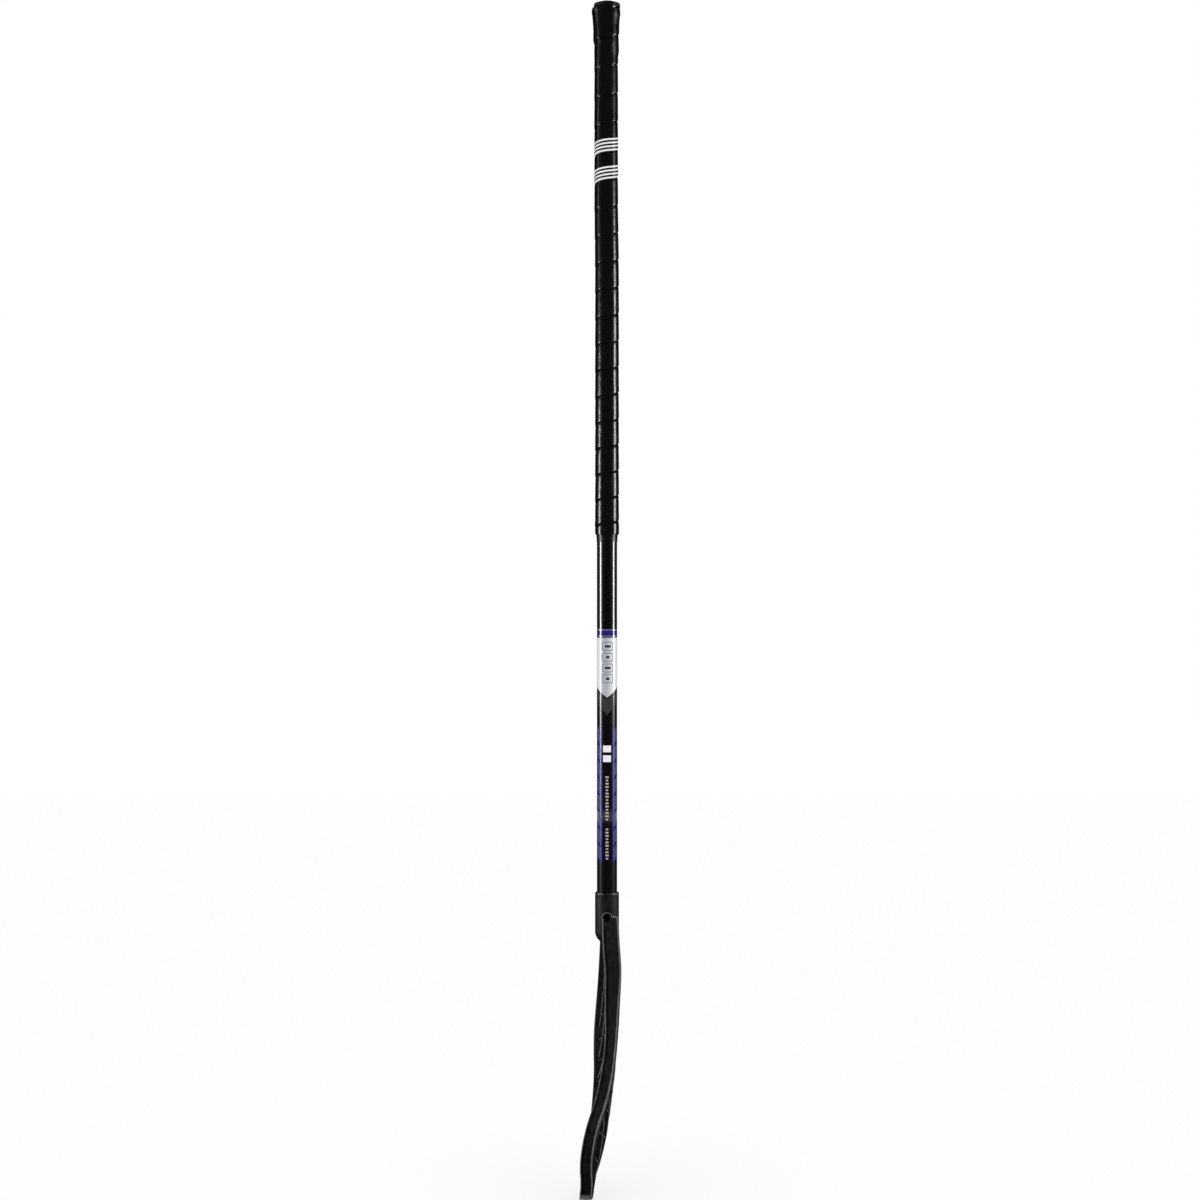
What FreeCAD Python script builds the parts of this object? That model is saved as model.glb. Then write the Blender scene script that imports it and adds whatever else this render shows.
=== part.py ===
import FreeCAD, Part
import math
import os

from FreeCAD import Vector

# A floorball stick, in millimetres. The shaft stands along +Z, the toe of the blade points to -Y and its hook
# turns to -X. The origin is on the shaft's axis, in the middle of the wrapped grip.

# Shaft: one straight hollow tube of fibre composite, 920 over the cap on its upper end
shaft_length = 916.0
shaft_outer_diameter = 19.3
shaft_wall = 1.6

# Grip tape: one soft strip wound round the upper shaft, its ends cut to a slant so that they finish square
grip_length = 519.0
tape_thickness = 1.7
tape_pitch = 25.1
tape_turn_gap = 0.5
tape_start_degrees = 180.0
seam_run_out_share = 0.125
gap_steps_per_turn = 720
bond_line = 0.1

# Butt cap: a moulded cap with a spigot inside the tube and a flared skirt outside it, under the tape
cap_head_diameter = 25.8
cap_head_height = 5.0
cap_head_rounding = 3.2
cap_head_bevel_count = 2
cap_crown_diameter = 13.0
cap_crown_height = 1.0
cap_tube_seat = 2.0
cap_spigot_length = 25.0
cap_swell = 2.3
cap_swell_length = 44.0
cap_skirt_edge = 0.5
cap_skirt_hollow = 0.15
cap_clearance = 0.1

# Finishing tape: the short tapered band that seals the lower end of the grip
finish_length = 7.5
finish_thickness_above = 0.75
finish_thickness_below = 0.4

# Blade socket: a blind sleeve that takes the lower end of the shaft
socket_outer_diameter = 23.6
socket_length = 50.5
socket_seat_depth = 42.8
socket_clearance = 0.15
socket_lip_rounding = 1.2

# Blade outline in side view, measured along the sole from where its line meets the shaft's axis
sole_drop = 147.0
sole_slope_degrees = 37.2
blade_reach = 204.0
blade_height_at_neck = 92.0
blade_height_at_toe = 88.6
blade_heel_radius = 88.0
blade_toe_lower_radius = 24.0
blade_toe_upper_radius = 38.0
blade_neck_radius = 52.0
blade_back_offset = 10.8
blade_front_offset = 13.3
blade_back_top_drop = 40.0
blade_front_top_drop = 15.0
shoulder_drop = 21.9
shoulder_rounding = 2.2
shoulder_shift = 1.8

# Blade form across its width: how far the edges lean, hook and bow from the plane of the shaft
top_edge_lean = 5.6
sole_lean = 6.3
top_edge_hook = 31.4
sole_hook = 17.4
face_bow = 7.3
top_edge_hook_power = 3.8
sole_hook_power = 1.5

# Blade walls
rim_depth = 4.6
rim_width = 12.0
rim_width_at_neck = 16.4
rib_width = 8.0
rib_thickness = 2.6
rib_spacing = 26.0
rib_lean_degrees = 31.0
web_width = 2.6
web_length = 52.0

# Blade screw: one self-tapping screw through the front of the socket into the shaft
screw_drop = 23.6
screw_shank_diameter = 3.4
screw_shank_length = 9.0
screw_head_diameter = 6.4
screw_head_height = 2.2
screw_recess_diameter = 7.6
screw_recess_depth = 2.6
screw_boss_diameter = 10.4
screw_clearance = 0.1
screw_point_length = 2.0
screw_slot_width = 1.1
screw_slot_depth = 1.2
screw_slot_share = 0.66

# One overrun serves every cut that goes right through; the slabs that shape the blade rise above its top edge
overrun = 5.0
slab_rise = 30.0
middle_share = 0.5

# Stations of the blade's lofts, as shares of its reach, and what each has of the full lean, bow and rim width
station_shares = (-0.45, -0.24, -0.03, 0.18, 0.38, 0.58, 0.80, 1.03)
lean_shares = (0.0, 0.59, 1.0, 0.78, 0.78, 0.78, 0.78, 0.78)
bow_shares = (0.0, 0.0, 0.19, 0.79, 0.83, 0.83, 1.0, 0.75)
rim_taper_shares = (0.56, 0.86, 0.89, 0.48, 0.0, 0.0, 0.0, 0.0)

# Levels where values above meet
shaft_radius = shaft_outer_diameter / 2
shaft_bore_radius = shaft_radius - shaft_wall
grip_top = grip_length / 2
grip_bottom = -grip_length / 2
shaft_top = grip_top + cap_tube_seat
shaft_bottom = shaft_top - shaft_length
socket_top = shaft_bottom + socket_seat_depth
sole_level = socket_top - sole_drop
screw_level = socket_top - screw_drop
sole_slope = math.radians(sole_slope_degrees)


def revolved(edges):
    """A solid of revolution about the shaft's axis from a closed half section in the XZ plane."""
    face = Part.Face(Part.Wire(edges))
    return face.revolve(Vector(0, 0, 0), Vector(0, 0, 1), 360)


def section_line(start, end):
    """A straight edge of a half section between two (radius, level) pairs."""
    return Part.LineSegment(Vector(start[0], 0, start[1]), Vector(end[0], 0, end[1])).toShape()


def section_lines(points):
    """Straight edges of a half section through (radius, level) pairs."""
    return [section_line(start, end) for start, end in zip(points, points[1:])]


def section_corner(center, radius, start_degrees, end_degrees):
    """A rounded corner of a half section, about a (radius, level) pair."""
    angles = [math.radians(a) for a in (start_degrees, (start_degrees + end_degrees) / 2, end_degrees)]
    points = [
        Vector(center[0] + radius * math.cos(a), 0, center[1] + radius * math.sin(a))
        for a in angles
    ]
    return Part.Arc(*points).toShape()


def section_bevels(center, radius, count):
    """The upper outer corner of a half section, rounded by a number of equal bevels."""
    angles = [math.radians(90 - 90 * n / count) for n in range(count + 1)]
    points = [(center[0] + radius * math.cos(a), center[1] + radius * math.sin(a)) for a in angles]
    return section_lines(points)


def smooth_edge(points):
    """A smooth edge through points."""
    curve = Part.BSplineCurve()
    curve.interpolate(points)
    return curve.toShape()


def make_shaft_tube():
    """The tube, with the hole that the blade screw passes."""
    base = Vector(0, 0, shaft_bottom)
    tube = Part.makeCylinder(shaft_radius, shaft_length, base)
    tube = tube.cut(Part.makeCylinder(shaft_bore_radius, shaft_length, base))
    hole_radius = screw_shank_diameter / 2 + screw_clearance
    hole = Part.makeCylinder(hole_radius, shaft_outer_diameter, Vector(0, 0, screw_level), Vector(0, -1, 0))
    return tube.cut(hole)


def swell_radius(level):
    """Radius of the shaft, and of the cap's flared skirt on its upper end, at a level."""
    swell_base = grip_top - cap_swell_length
    return shaft_radius + cap_swell * max(0, level - swell_base) / cap_swell_length


def make_butt_cap():
    """The cap: a bevelled head with a low flat crown, a spigot and a flared skirt."""
    head_top = grip_top + cap_head_height
    head_radius = cap_head_diameter / 2
    crown_radius = cap_crown_diameter / 2
    crown_top = head_top + cap_crown_height
    skirt_end = grip_top - cap_swell_length * (1 - cap_skirt_edge / cap_swell)
    skirt_bore = shaft_radius + cap_clearance
    spigot_radius = shaft_bore_radius - cap_clearance
    spigot_end = shaft_top - cap_spigot_length
    rounding = min(cap_head_rounding, cap_head_height)
    corner = (head_radius - rounding, head_top - rounding)
    edges = section_lines(
        [
            (0, crown_top),
            (crown_radius, crown_top),
            (crown_radius, head_top),
            (corner[0], head_top),
        ]
    )
    edges += section_bevels(corner, rounding, cap_head_bevel_count)
    edges += section_lines(
        [
            (head_radius, corner[1]),
            (head_radius, grip_top),
            (swell_radius(grip_top), grip_top),
        ]
    )
    skirt_middle = (grip_top + skirt_end) / 2
    skirt_levels = ((grip_top, 0), (skirt_middle, cap_skirt_hollow), (skirt_end, 0))
    edges.append(smooth_edge([Vector(swell_radius(z) - hollow, 0, z) for z, hollow in skirt_levels]))
    edges += section_lines(
        [
            (swell_radius(skirt_end), skirt_end),
            (skirt_bore, skirt_end),
            (skirt_bore, shaft_top),
            (spigot_radius, shaft_top),
            (spigot_radius, spigot_end),
            (0, spigot_end),
            (0, crown_top),
        ]
    )
    return revolved(edges)


def seam_point(turns, radius, rise):
    """A point of the seam between turns of the tape, lifted by a rise from its middle."""
    angle = math.radians(tape_start_degrees) + 2 * math.pi * turns
    level = grip_bottom + tape_pitch * turns + rise
    return Vector(radius * math.cos(angle), radius * math.sin(angle), level)


def least_tape_gap():
    """Least distance between one turn of the tape and the next, measured on points of the two edges."""
    radius = shaft_radius + bond_line
    lower_edge = seam_point(0, radius, -tape_turn_gap / 2)
    near_turns = [n / gap_steps_per_turn for n in range(-gap_steps_per_turn // 2, gap_steps_per_turn // 2)]
    return min((seam_point(t, radius, tape_turn_gap / 2) - lower_edge).Length for t in near_turns)


def make_grip_tape():
    """The wound strip: a sleeve over shaft and skirt, parted from end to end by one helical seam."""
    inner = shaft_radius + bond_line
    inner_top = swell_radius(grip_top) + bond_line
    swell_base = grip_top - cap_swell_length
    sleeve = revolved(
        section_lines(
            [
                (inner, grip_bottom),
                (inner + tape_thickness, grip_bottom),
                (inner + tape_thickness, swell_base),
                (inner_top + tape_thickness, grip_top),
                (inner_top, grip_top),
                (inner, swell_base),
                (inner, grip_bottom),
            ]
        )
    )
    run_out = tape_pitch * seam_run_out_share
    seam_path = Part.makeLongHelix(tape_pitch, grip_length + 2 * run_out, inner)
    low, high = -tape_turn_gap / 2, tape_turn_gap / 2
    near, far = inner - tape_thickness, inner_top + 2 * tape_thickness
    corners = [Vector(near, 0, low), Vector(far, 0, low), Vector(far, 0, high), Vector(near, 0, high)]
    seam_section = Part.makePolygon(corners + [corners[0]])
    seam = seam_path.makePipeShell([seam_section], True, True)
    seam.rotate(Vector(0, 0, 0), Vector(0, 0, 1), tape_start_degrees - 360 * seam_run_out_share)
    seam.translate(Vector(0, 0, grip_bottom - run_out))
    return sleeve.cut(seam)


def make_finishing_tape():
    """The tapered band under the lower end of the grip."""
    inner = shaft_radius + bond_line
    lower_end = grip_bottom - finish_length
    return revolved(
        section_lines(
            [
                (inner, grip_bottom),
                (inner + finish_thickness_above, grip_bottom),
                (inner + finish_thickness_below, lower_end),
                (inner, lower_end),
                (inner, grip_bottom),
            ]
        )
    )


def side_point(forward, level):
    """A point in the plane of the shaft and the toe."""
    return Vector(0, -forward, level)


def blade_point(along, up, across=0):
    """A point of the blade from its place along the sole, its height over it and its place across."""
    forward = along * math.cos(sole_slope) + up * math.sin(sole_slope)
    rise = up * math.cos(sole_slope) - along * math.sin(sole_slope)
    return Vector(across, -forward, sole_level + rise)


def line_crossing(start, end, forward):
    """Where the line through two points of the side plane reaches a distance in front of the shaft's axis."""
    share = (-forward - start.y) / (end.y - start.y)
    return start + (end - start) * share


def rounded_outline(corners):
    """A closed wire through (point, radius) corners, straight between them and rounded at them."""
    count = len(corners)
    edges = []
    trims = []
    for index, (point, radius) in enumerate(corners):
        before = (corners[index - 1][0] - point).normalize()
        after = (corners[(index + 1) % count][0] - point).normalize()
        half_turn = before.getAngle(after) / 2
        setback = radius / math.tan(half_turn)
        middle = (before + after).normalize()
        reach = radius / math.sin(half_turn) - radius
        trims.append((point + before * setback, point + middle * reach, point + after * setback))
    for index, (entry, middle, leave) in enumerate(trims):
        if corners[index][1] > 0:
            edges.append(Part.Arc(entry, middle, leave).toShape())
        edges.append(Part.LineSegment(leave, trims[(index + 1) % count][0]).toShape())
    return Part.Wire(edges)


def blade_outline():
    """The blade in side view: back of the socket, heel, sole, toe, top edge and front of the socket."""
    sole_start = blade_point(0, 0)
    toe_low = blade_point(blade_reach, 0)
    toe_high = blade_point(blade_reach, blade_height_at_toe)
    heel = line_crossing(sole_start, toe_low, -blade_back_offset)
    neck = line_crossing(blade_point(0, blade_height_at_neck), toe_high, blade_front_offset)
    return rounded_outline(
        [
            (side_point(-blade_back_offset, socket_top - blade_back_top_drop), 0),
            (heel, blade_heel_radius),
            (toe_low, blade_toe_lower_radius),
            (toe_high, blade_toe_upper_radius),
            (neck, blade_neck_radius),
            (side_point(blade_front_offset, socket_top - blade_front_top_drop), 0),
        ]
    )


def face_place(station, height_share):
    """Place across of the blade's middle surface at a station, from the sole at 0 to the top edge at 1."""
    along_share = max(0, station_shares[station])
    top = top_edge_lean * lean_shares[station] - top_edge_hook * along_share**top_edge_hook_power
    low = -sole_lean * lean_shares[station] - sole_hook * along_share**sole_hook_power
    bow = 4 * face_bow * bow_shares[station] * height_share * (1 - height_share)
    return low + (top - low) * height_share + bow


def blade_slab(widths):
    """A hooked, leaning and bowed slab, lofted through one curved section for each station."""
    height = blade_height_at_neck
    level_shares = (-overrun / height, middle_share, 1 + slab_rise / height)
    sections = []
    for station, width in enumerate(widths):
        along = blade_reach * station_shares[station]
        middle = [(height * share, face_place(station, share)) for share in level_shares]
        near = [blade_point(along, up, across - width / 2) for up, across in middle]
        far = [blade_point(along, up, across + width / 2) for up, across in middle]
        edges = [
            smooth_edge(near),
            Part.LineSegment(near[-1], far[-1]).toShape(),
            smooth_edge(far[::-1]),
            Part.LineSegment(far[0], near[0]).toShape(),
        ]
        sections.append(Part.Wire(edges))
    return Part.makeLoft(sections, True, False)


def across_prism(face):
    """A face of the side plane stretched across the whole blade."""
    reach = top_edge_hook + sole_hook + rim_width_at_neck + overrun
    lowered = face.copy()
    lowered.translate(Vector(-reach, 0, 0))
    return lowered.extrude(Vector(2 * reach, 0, 0))


def rib_strip(along, lean):
    """A straight rib in side view, leaning from a place on the sole, longer than the blade is high."""
    half = rib_thickness / 2 / math.cos(lean)
    low = -overrun
    high = blade_height_at_neck + blade_reach * math.tan(abs(lean))
    corners = []
    for up, side in ((low, -half), (low, half), (high, half), (high, -half)):
        corners.append(blade_point(along + up * math.tan(lean) + side, up))
    return Part.Face(Part.makePolygon(corners + [corners[0]]))


def rib_lattice(region):
    """Two sets of crossing ribs within a region of the side plane."""
    lean = math.radians(rib_lean_degrees)
    run = blade_height_at_neck * math.tan(lean)
    count = math.ceil((blade_reach + 2 * run) / rib_spacing)
    strips = []
    for index in range(-count, count + 1):
        strips.append(rib_strip(rib_spacing * index, lean))
        strips.append(rib_strip(rib_spacing * index, -lean))
    inside = [strip for strip in strips if strip.common(region).Area > rib_thickness * rib_thickness]
    ribs = inside[0].multiFuse(inside[1:]).common(region)
    return ribs.removeSplitter()


def web_panel(region):
    """The closed web beside the top edge, between two ribs near the neck."""
    lean = math.radians(rib_lean_degrees)
    half_height = blade_height_at_neck / 2
    shift = half_height * math.tan(lean)
    corners = [
        blade_point(-shift, half_height),
        blade_point(web_length - shift, half_height),
        blade_point(web_length, blade_height_at_neck),
        blade_point(0, blade_height_at_neck),
    ]
    return Part.Face(Part.makePolygon(corners + [corners[0]])).common(region)


def make_socket():
    """The sleeve before it is bored: a rounded lip above and a domed blind end below."""
    radius = socket_outer_diameter / 2
    lower_end = socket_top - socket_length
    lip = (radius - socket_lip_rounding, socket_top - socket_lip_rounding)
    dome_level = lower_end + radius
    edges = [section_line((0, socket_top), (lip[0], socket_top))]
    edges.append(section_corner(lip, socket_lip_rounding, 90, 0))
    edges.append(section_line((radius, lip[1]), (radius, dome_level)))
    edges.append(section_corner((0, dome_level), radius, 0, -90))
    edges.append(section_line((0, lower_end), (0, socket_top)))
    return revolved(edges)


def shoulder_waste():
    """What is taken from the top of the rim, so that its shoulder beside the screw boss has round corners."""
    shoulder = socket_top - shoulder_drop
    width = rim_width + (rim_width_at_neck - rim_width) * rim_taper_shares[0]
    depth = blade_front_offset + overrun
    kept = Part.makeBox(
        width,
        depth,
        2 * shoulder_rounding,
        Vector(shoulder_shift - width / 2, -depth, shoulder - 2 * shoulder_rounding),
    )
    upper_edges = [
        edge
        for edge in kept.Edges
        if edge.BoundBox.ZMin > shoulder - shoulder_rounding and edge.BoundBox.YLength > edge.BoundBox.XLength
    ]
    kept = kept.makeFillet(shoulder_rounding, upper_edges)
    block_height = shoulder_drop + overrun
    block_corner = Vector(-socket_outer_diameter, -depth, shoulder - shoulder_rounding)
    block = Part.makeBox(2 * socket_outer_diameter, depth, block_height, block_corner)
    return block.cut(kept)


def make_blade():
    """The moulded blade: rim, ribs, web, socket and screw boss in one piece, bored for shaft and screw."""
    outline = blade_outline()
    whole = Part.Face(outline)
    hollow = Part.Face(outline.makeOffset2D(-rim_depth))
    region = Part.Face(outline.makeOffset2D(-rim_depth / 2))
    rim_widths = [rim_width + (rim_width_at_neck - rim_width) * share for share in rim_taper_shares]
    rim = across_prism(whole.cut(hollow)).common(blade_slab(rim_widths)).cut(shoulder_waste())
    rib_slab = blade_slab([rib_width] * len(station_shares))
    web_slab = blade_slab([web_width] * len(station_shares))
    ribs = across_prism(rib_lattice(region)).common(rib_slab)
    web = across_prism(web_panel(region)).common(web_slab)
    forward = Vector(0, -1, 0)
    axis_point = Vector(0, 0, screw_level)
    boss = Part.makeCylinder(screw_boss_diameter / 2, blade_front_offset, axis_point, forward)
    body = make_socket().multiFuse([rim, ribs, web, boss])
    bore_radius = shaft_radius + socket_clearance
    bore = Part.makeCylinder(bore_radius, socket_seat_depth + overrun, Vector(0, 0, shaft_bottom))
    hole_radius = screw_shank_diameter / 2 + screw_clearance
    screw_hole = Part.makeCylinder(hole_radius, blade_front_offset, axis_point, forward)
    recess_floor = blade_front_offset - screw_recess_depth
    recess_start = Vector(0, -recess_floor, screw_level)
    recess = Part.makeCylinder(screw_recess_diameter / 2, screw_recess_depth + overrun, recess_start, forward)
    body = body.cut([bore, screw_hole, recess])
    return body.removeSplitter()


def make_blade_screw():
    """The screw: a flat head with a cross recess, a plain shank and a point inside the tube."""
    head_radius = screw_head_diameter / 2
    shank_radius = screw_shank_diameter / 2
    seat = blade_front_offset - screw_recess_depth
    head_top = seat + screw_head_height
    shank_end = seat - screw_shank_length
    forward = Vector(0, -1, 0)
    head = Part.makeCylinder(head_radius, screw_head_height, Vector(0, -seat, screw_level), forward)
    point_start = shank_end + screw_point_length
    shank_length = screw_shank_length - screw_point_length
    shank = Part.makeCylinder(shank_radius, shank_length, Vector(0, -point_start, screw_level), forward)
    tip = Part.makeCone(0, shank_radius, screw_point_length, Vector(0, -shank_end, screw_level), forward)
    slot_length = screw_head_diameter * screw_slot_share
    cuts = []
    for size_x, size_z in ((slot_length, screw_slot_width), (screw_slot_width, slot_length)):
        corner = Vector(-size_x / 2, -head_top, screw_level - size_z / 2)
        cuts.append(Part.makeBox(size_x, screw_slot_depth, size_z, corner))
    return head.multiFuse([shank, tip]).cut(cuts).removeSplitter()


def single_solid(shape):
    """The one solid of a shape that a cut or a join has left in a compound."""
    return shape.Solids[0] if len(shape.Solids) == 1 else shape


def main():
    os.makedirs("parts", exist_ok=True)
    pieces = {
        "shaft_tube": make_shaft_tube(),
        "butt_cap": make_butt_cap(),
        "grip_tape": make_grip_tape(),
        "finishing_tape": make_finishing_tape(),
        "blade": make_blade(),
        "blade_screw": make_blade_screw(),
    }
    for name, shape in pieces.items():
        solid = single_solid(shape)
        solid.exportStep(os.path.join("parts", name + ".step"))
        print(name, "solids", len(solid.Solids), "valid", solid.isValid(), "volume", round(solid.Volume, 1))
    print("least gap between turns of the tape:", round(least_tape_gap(), 3))


main()
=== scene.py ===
import logging
import math
from collections.abc import Callable, Sequence
from dataclasses import dataclass
from enum import Enum
from functools import cache

import bmesh
import bpy
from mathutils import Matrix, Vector, noise


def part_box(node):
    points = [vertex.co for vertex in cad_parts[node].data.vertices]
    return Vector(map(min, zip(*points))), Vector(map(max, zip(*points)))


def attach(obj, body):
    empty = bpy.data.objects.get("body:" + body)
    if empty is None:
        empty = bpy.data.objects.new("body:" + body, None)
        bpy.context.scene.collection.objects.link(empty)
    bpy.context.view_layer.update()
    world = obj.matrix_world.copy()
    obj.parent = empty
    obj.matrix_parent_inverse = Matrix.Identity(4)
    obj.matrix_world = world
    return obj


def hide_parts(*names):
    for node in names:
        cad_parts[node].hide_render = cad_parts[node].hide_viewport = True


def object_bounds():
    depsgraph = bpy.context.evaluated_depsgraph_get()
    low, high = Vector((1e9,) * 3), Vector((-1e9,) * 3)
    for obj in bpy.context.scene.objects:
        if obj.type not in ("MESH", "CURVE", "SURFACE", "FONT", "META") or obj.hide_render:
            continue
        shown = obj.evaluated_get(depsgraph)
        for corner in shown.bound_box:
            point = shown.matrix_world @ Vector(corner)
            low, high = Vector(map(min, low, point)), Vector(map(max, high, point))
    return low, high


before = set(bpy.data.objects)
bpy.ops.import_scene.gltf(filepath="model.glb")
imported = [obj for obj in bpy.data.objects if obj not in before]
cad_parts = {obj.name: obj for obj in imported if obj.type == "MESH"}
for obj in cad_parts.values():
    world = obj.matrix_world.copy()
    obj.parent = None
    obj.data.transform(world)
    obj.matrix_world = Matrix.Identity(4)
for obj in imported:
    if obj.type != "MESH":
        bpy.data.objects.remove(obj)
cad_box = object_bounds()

# A floorball stick. Its sizes are in millimetres, and those of the studio round it in metres. The shaft
# stands along +Z, the toe points to -Y, towards the camera, and the blade hooks to -X. Levels come from the
# frame.

Point = tuple[float, float]
Rows = list[list[Vector]]
Faces = list[tuple[int, ...]]
Tree = bpy.types.NodeTree
Node = bpy.types.Node
Socket = bpy.types.NodeSocket
Material = bpy.types.Material
Piece = bpy.types.Object

MM = 0.001
SHARP_DEGREES = 35.0
WHOLE: Point = (0.0, 1.0)
# Nearly all values of a noise texture lie between these.
NOISE_SPAN: Point = (0.3, 0.7)
# Waves of a wave texture in one unit of its coordinates, at a scale of 1
WAVES_PER_UNIT = 10 / math.pi
# Noise is nil on whole coordinates, so that a line of it is read halfway between them.
NOISE_HALFWAY = 0.5
# Directions whose cross product is smaller than this count as parallel.
PARALLEL = 1e-9
log = logging.getLogger("stick")


class Ink(Enum):
    """Printing inks on the shaft, with their colours."""

    WHITE = "f5f7fa"
    PALE = "b2b1b4"
    BLUE = "2f22ba"
    NAVY = "1d1186"
    SILVER = "b4b7bb"
    ASH = "7d828a"
    GREY = "484c55"
    CHARCOAL = "39393a"


class RibLean(Enum):
    """The two ways in which a rib of the blade leans."""

    TO_TOE = 1
    TO_HEEL = -1


def linear(colour: str) -> tuple[float, float, float, float]:
    """Turn an sRGB hex colour into linear light.

    Args:
        colour: six hex digits, two for each of red, green and blue.

    Returns:
        Red, green, blue and a full alpha.
    """
    shares = [int(colour[i : i + 2], 16) / 255 for i in (0, 2, 4)]
    red, green, blue = (s / 12.92 if s <= 0.04045 else ((s + 0.055) / 1.055) ** 2.4 for s in shares)
    return red, green, blue, 1.0


def add_node(tree: Tree, kind: str, settings: dict, inputs: dict) -> Node:
    """Add a node with its settings, its input values and its links.

    Args:
        tree: the node tree that gets the node.
        kind: Blender's name for the kind of node.
        settings: attributes of the node.
        inputs: for each input, by name or number, a value, or an output socket to link from.

    Returns:
        The new node.
    """
    node = tree.nodes.new(kind)
    for name, value in settings.items():
        setattr(node, name, value)
    for key, value in inputs.items():
        if isinstance(value, Socket):
            tree.links.new(value, node.inputs[key])
        else:
            node.inputs[key].default_value = value
    return node


def blank_material(name: str) -> tuple[Material, Tree]:
    """Make a material with an empty node tree.

    Args:
        name: the material's name.

    Returns:
        The material and its node tree.
    """
    material = bpy.data.materials.new(name)
    material.use_nodes = True
    material.node_tree.nodes.clear()
    return material, material.node_tree


def finish_surface(tree: Tree, inputs: dict) -> None:
    """Close a node tree with the surface shader.

    Args:
        tree: the material's node tree.
        inputs: values and links of the shader's sockets.
    """
    shader = add_node(tree, "ShaderNodeBsdfPrincipled", {}, inputs)
    add_node(tree, "ShaderNodeOutputMaterial", {}, {"Surface": shader.outputs["BSDF"]})


def per_metre(size: float) -> float:
    """Texture scale at which a pattern repeats about once in a size, for coordinates in metres."""
    return 1 / (size * MM)


def object_place(tree: Tree) -> Socket:
    """Coordinates that stay with the piece, in metres."""
    return add_node(tree, "ShaderNodeTexCoord", {}, {}).outputs["Object"]


def soft_noise(tree: Tree, place: Socket, size: float, detail: float) -> Socket:
    """Add a noise pattern of a real size.

    Args:
        tree: the material's node tree.
        place: the coordinates that the pattern follows.
        size: about how large its patches are.
        detail: how many finer layers it has.

    Returns:
        The pattern's value.
    """
    inputs = {"Vector": place, "Scale": per_metre(size), "Detail": detail}
    return add_node(tree, "ShaderNodeTexNoise", {}, inputs).outputs["Fac"]


def blend(tree: Tree, share: Socket, start: str, end: str) -> Socket:
    """Mix two colours.

    Args:
        tree: the material's node tree.
        share: the second colour's share.
        start: the first colour, in sRGB hex.
        end: the second colour, in sRGB hex.

    Returns:
        The mixed colour.
    """
    inputs = {0: share, 6: linear(start), 7: linear(end)}
    return add_node(tree, "ShaderNodeMix", {"data_type": "RGBA"}, inputs).outputs[2]


def remap(tree: Tree, value: Socket, source: Point = WHOLE, target: Point = WHOLE) -> Socket:
    """Carry one range of values over to another and hold what lies outside at its ends.

    Args:
        tree: the material's node tree.
        value: the value to carry over.
        source: start and end of its range.
        target: what they become.

    Returns:
        The new value.
    """
    inputs = {
        "Value": value,
        "From Min": source[0],
        "From Max": source[1],
        "To Min": target[0],
        "To Max": target[1],
    }
    return add_node(tree, "ShaderNodeMapRange", {}, inputs).outputs[0]


def calculate(tree: Tree, operation: str, *values: Socket | float) -> Socket:
    """Work out a value from one or two others, by the name of an operation."""
    return add_node(tree, "ShaderNodeMath", {"operation": operation}, dict(enumerate(values))).outputs[0]


def bump(tree: Tree, height: Socket, strength: float, depth: float, below: Socket | None = None) -> Socket:
    """Let a pattern tilt the surface.

    Args:
        tree: the material's node tree.
        height: the pattern.
        strength: how much of the tilt shows.
        depth: how deep the pattern is.
        below: the tilt of a finer pattern that this one lies over, if any.

    Returns:
        The tilted normal.
    """
    inputs = {"Height": height, "Strength": strength, "Distance": depth * MM}
    if below is not None:
        inputs["Normal"] = below
    return add_node(tree, "ShaderNodeBump", {}, inputs).outputs["Normal"]


@dataclass(frozen=True)
class LacqueredComposite:
    """Wound carbon composite under a polished clear lacquer: near black, with hard bright reflections."""

    deep: str = "050506"
    fibre: str = "0d0e10"
    tow_width: float = 2.4
    tow_widening: float = 1.885
    tow_slant_radians: float = 0.6
    tow_wander: float = 1.5
    peel_size: float = 3.0
    peel_depth: float = 0.5

    def material(self) -> Material:
        """Make the finish of the bare shaft.

        Returns:
            The material.
        """
        material, tree = blank_material("carbon_composite_clear_lacquered")
        place = object_place(tree)
        # Wound tows run round the tube at a slant and only just show through the lacquer. They are drawn
        # nearly twice as wide as real ones, to show.
        turned = {"Vector": place, "Rotation": (0.0, self.tow_slant_radians, 0.0)}
        tows = add_node(
            tree,
            "ShaderNodeTexWave",
            {"bands_direction": "Z"},
            {
                "Vector": add_node(tree, "ShaderNodeMapping", {}, turned).outputs[0],
                "Scale": per_metre(self.tow_width * self.tow_widening) / WAVES_PER_UNIT,
                "Distortion": self.tow_wander,
            },
        )
        # Lacquer dries with a faint waviness, which softens the edges of what it mirrors.
        peel = soft_noise(tree, place, self.peel_size, detail=1.0)
        finish_surface(
            tree,
            {
                "Base Color": blend(tree, tows.outputs["Fac"], self.deep, self.fibre),
                "Roughness": 0.3,
                "IOR": 1.5,
                "Coat Weight": 1.0,
                "Coat Roughness": 0.03,
                "Normal": bump(tree, peel, strength=0.006, depth=self.peel_depth),
            },
        )
        return material


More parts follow.
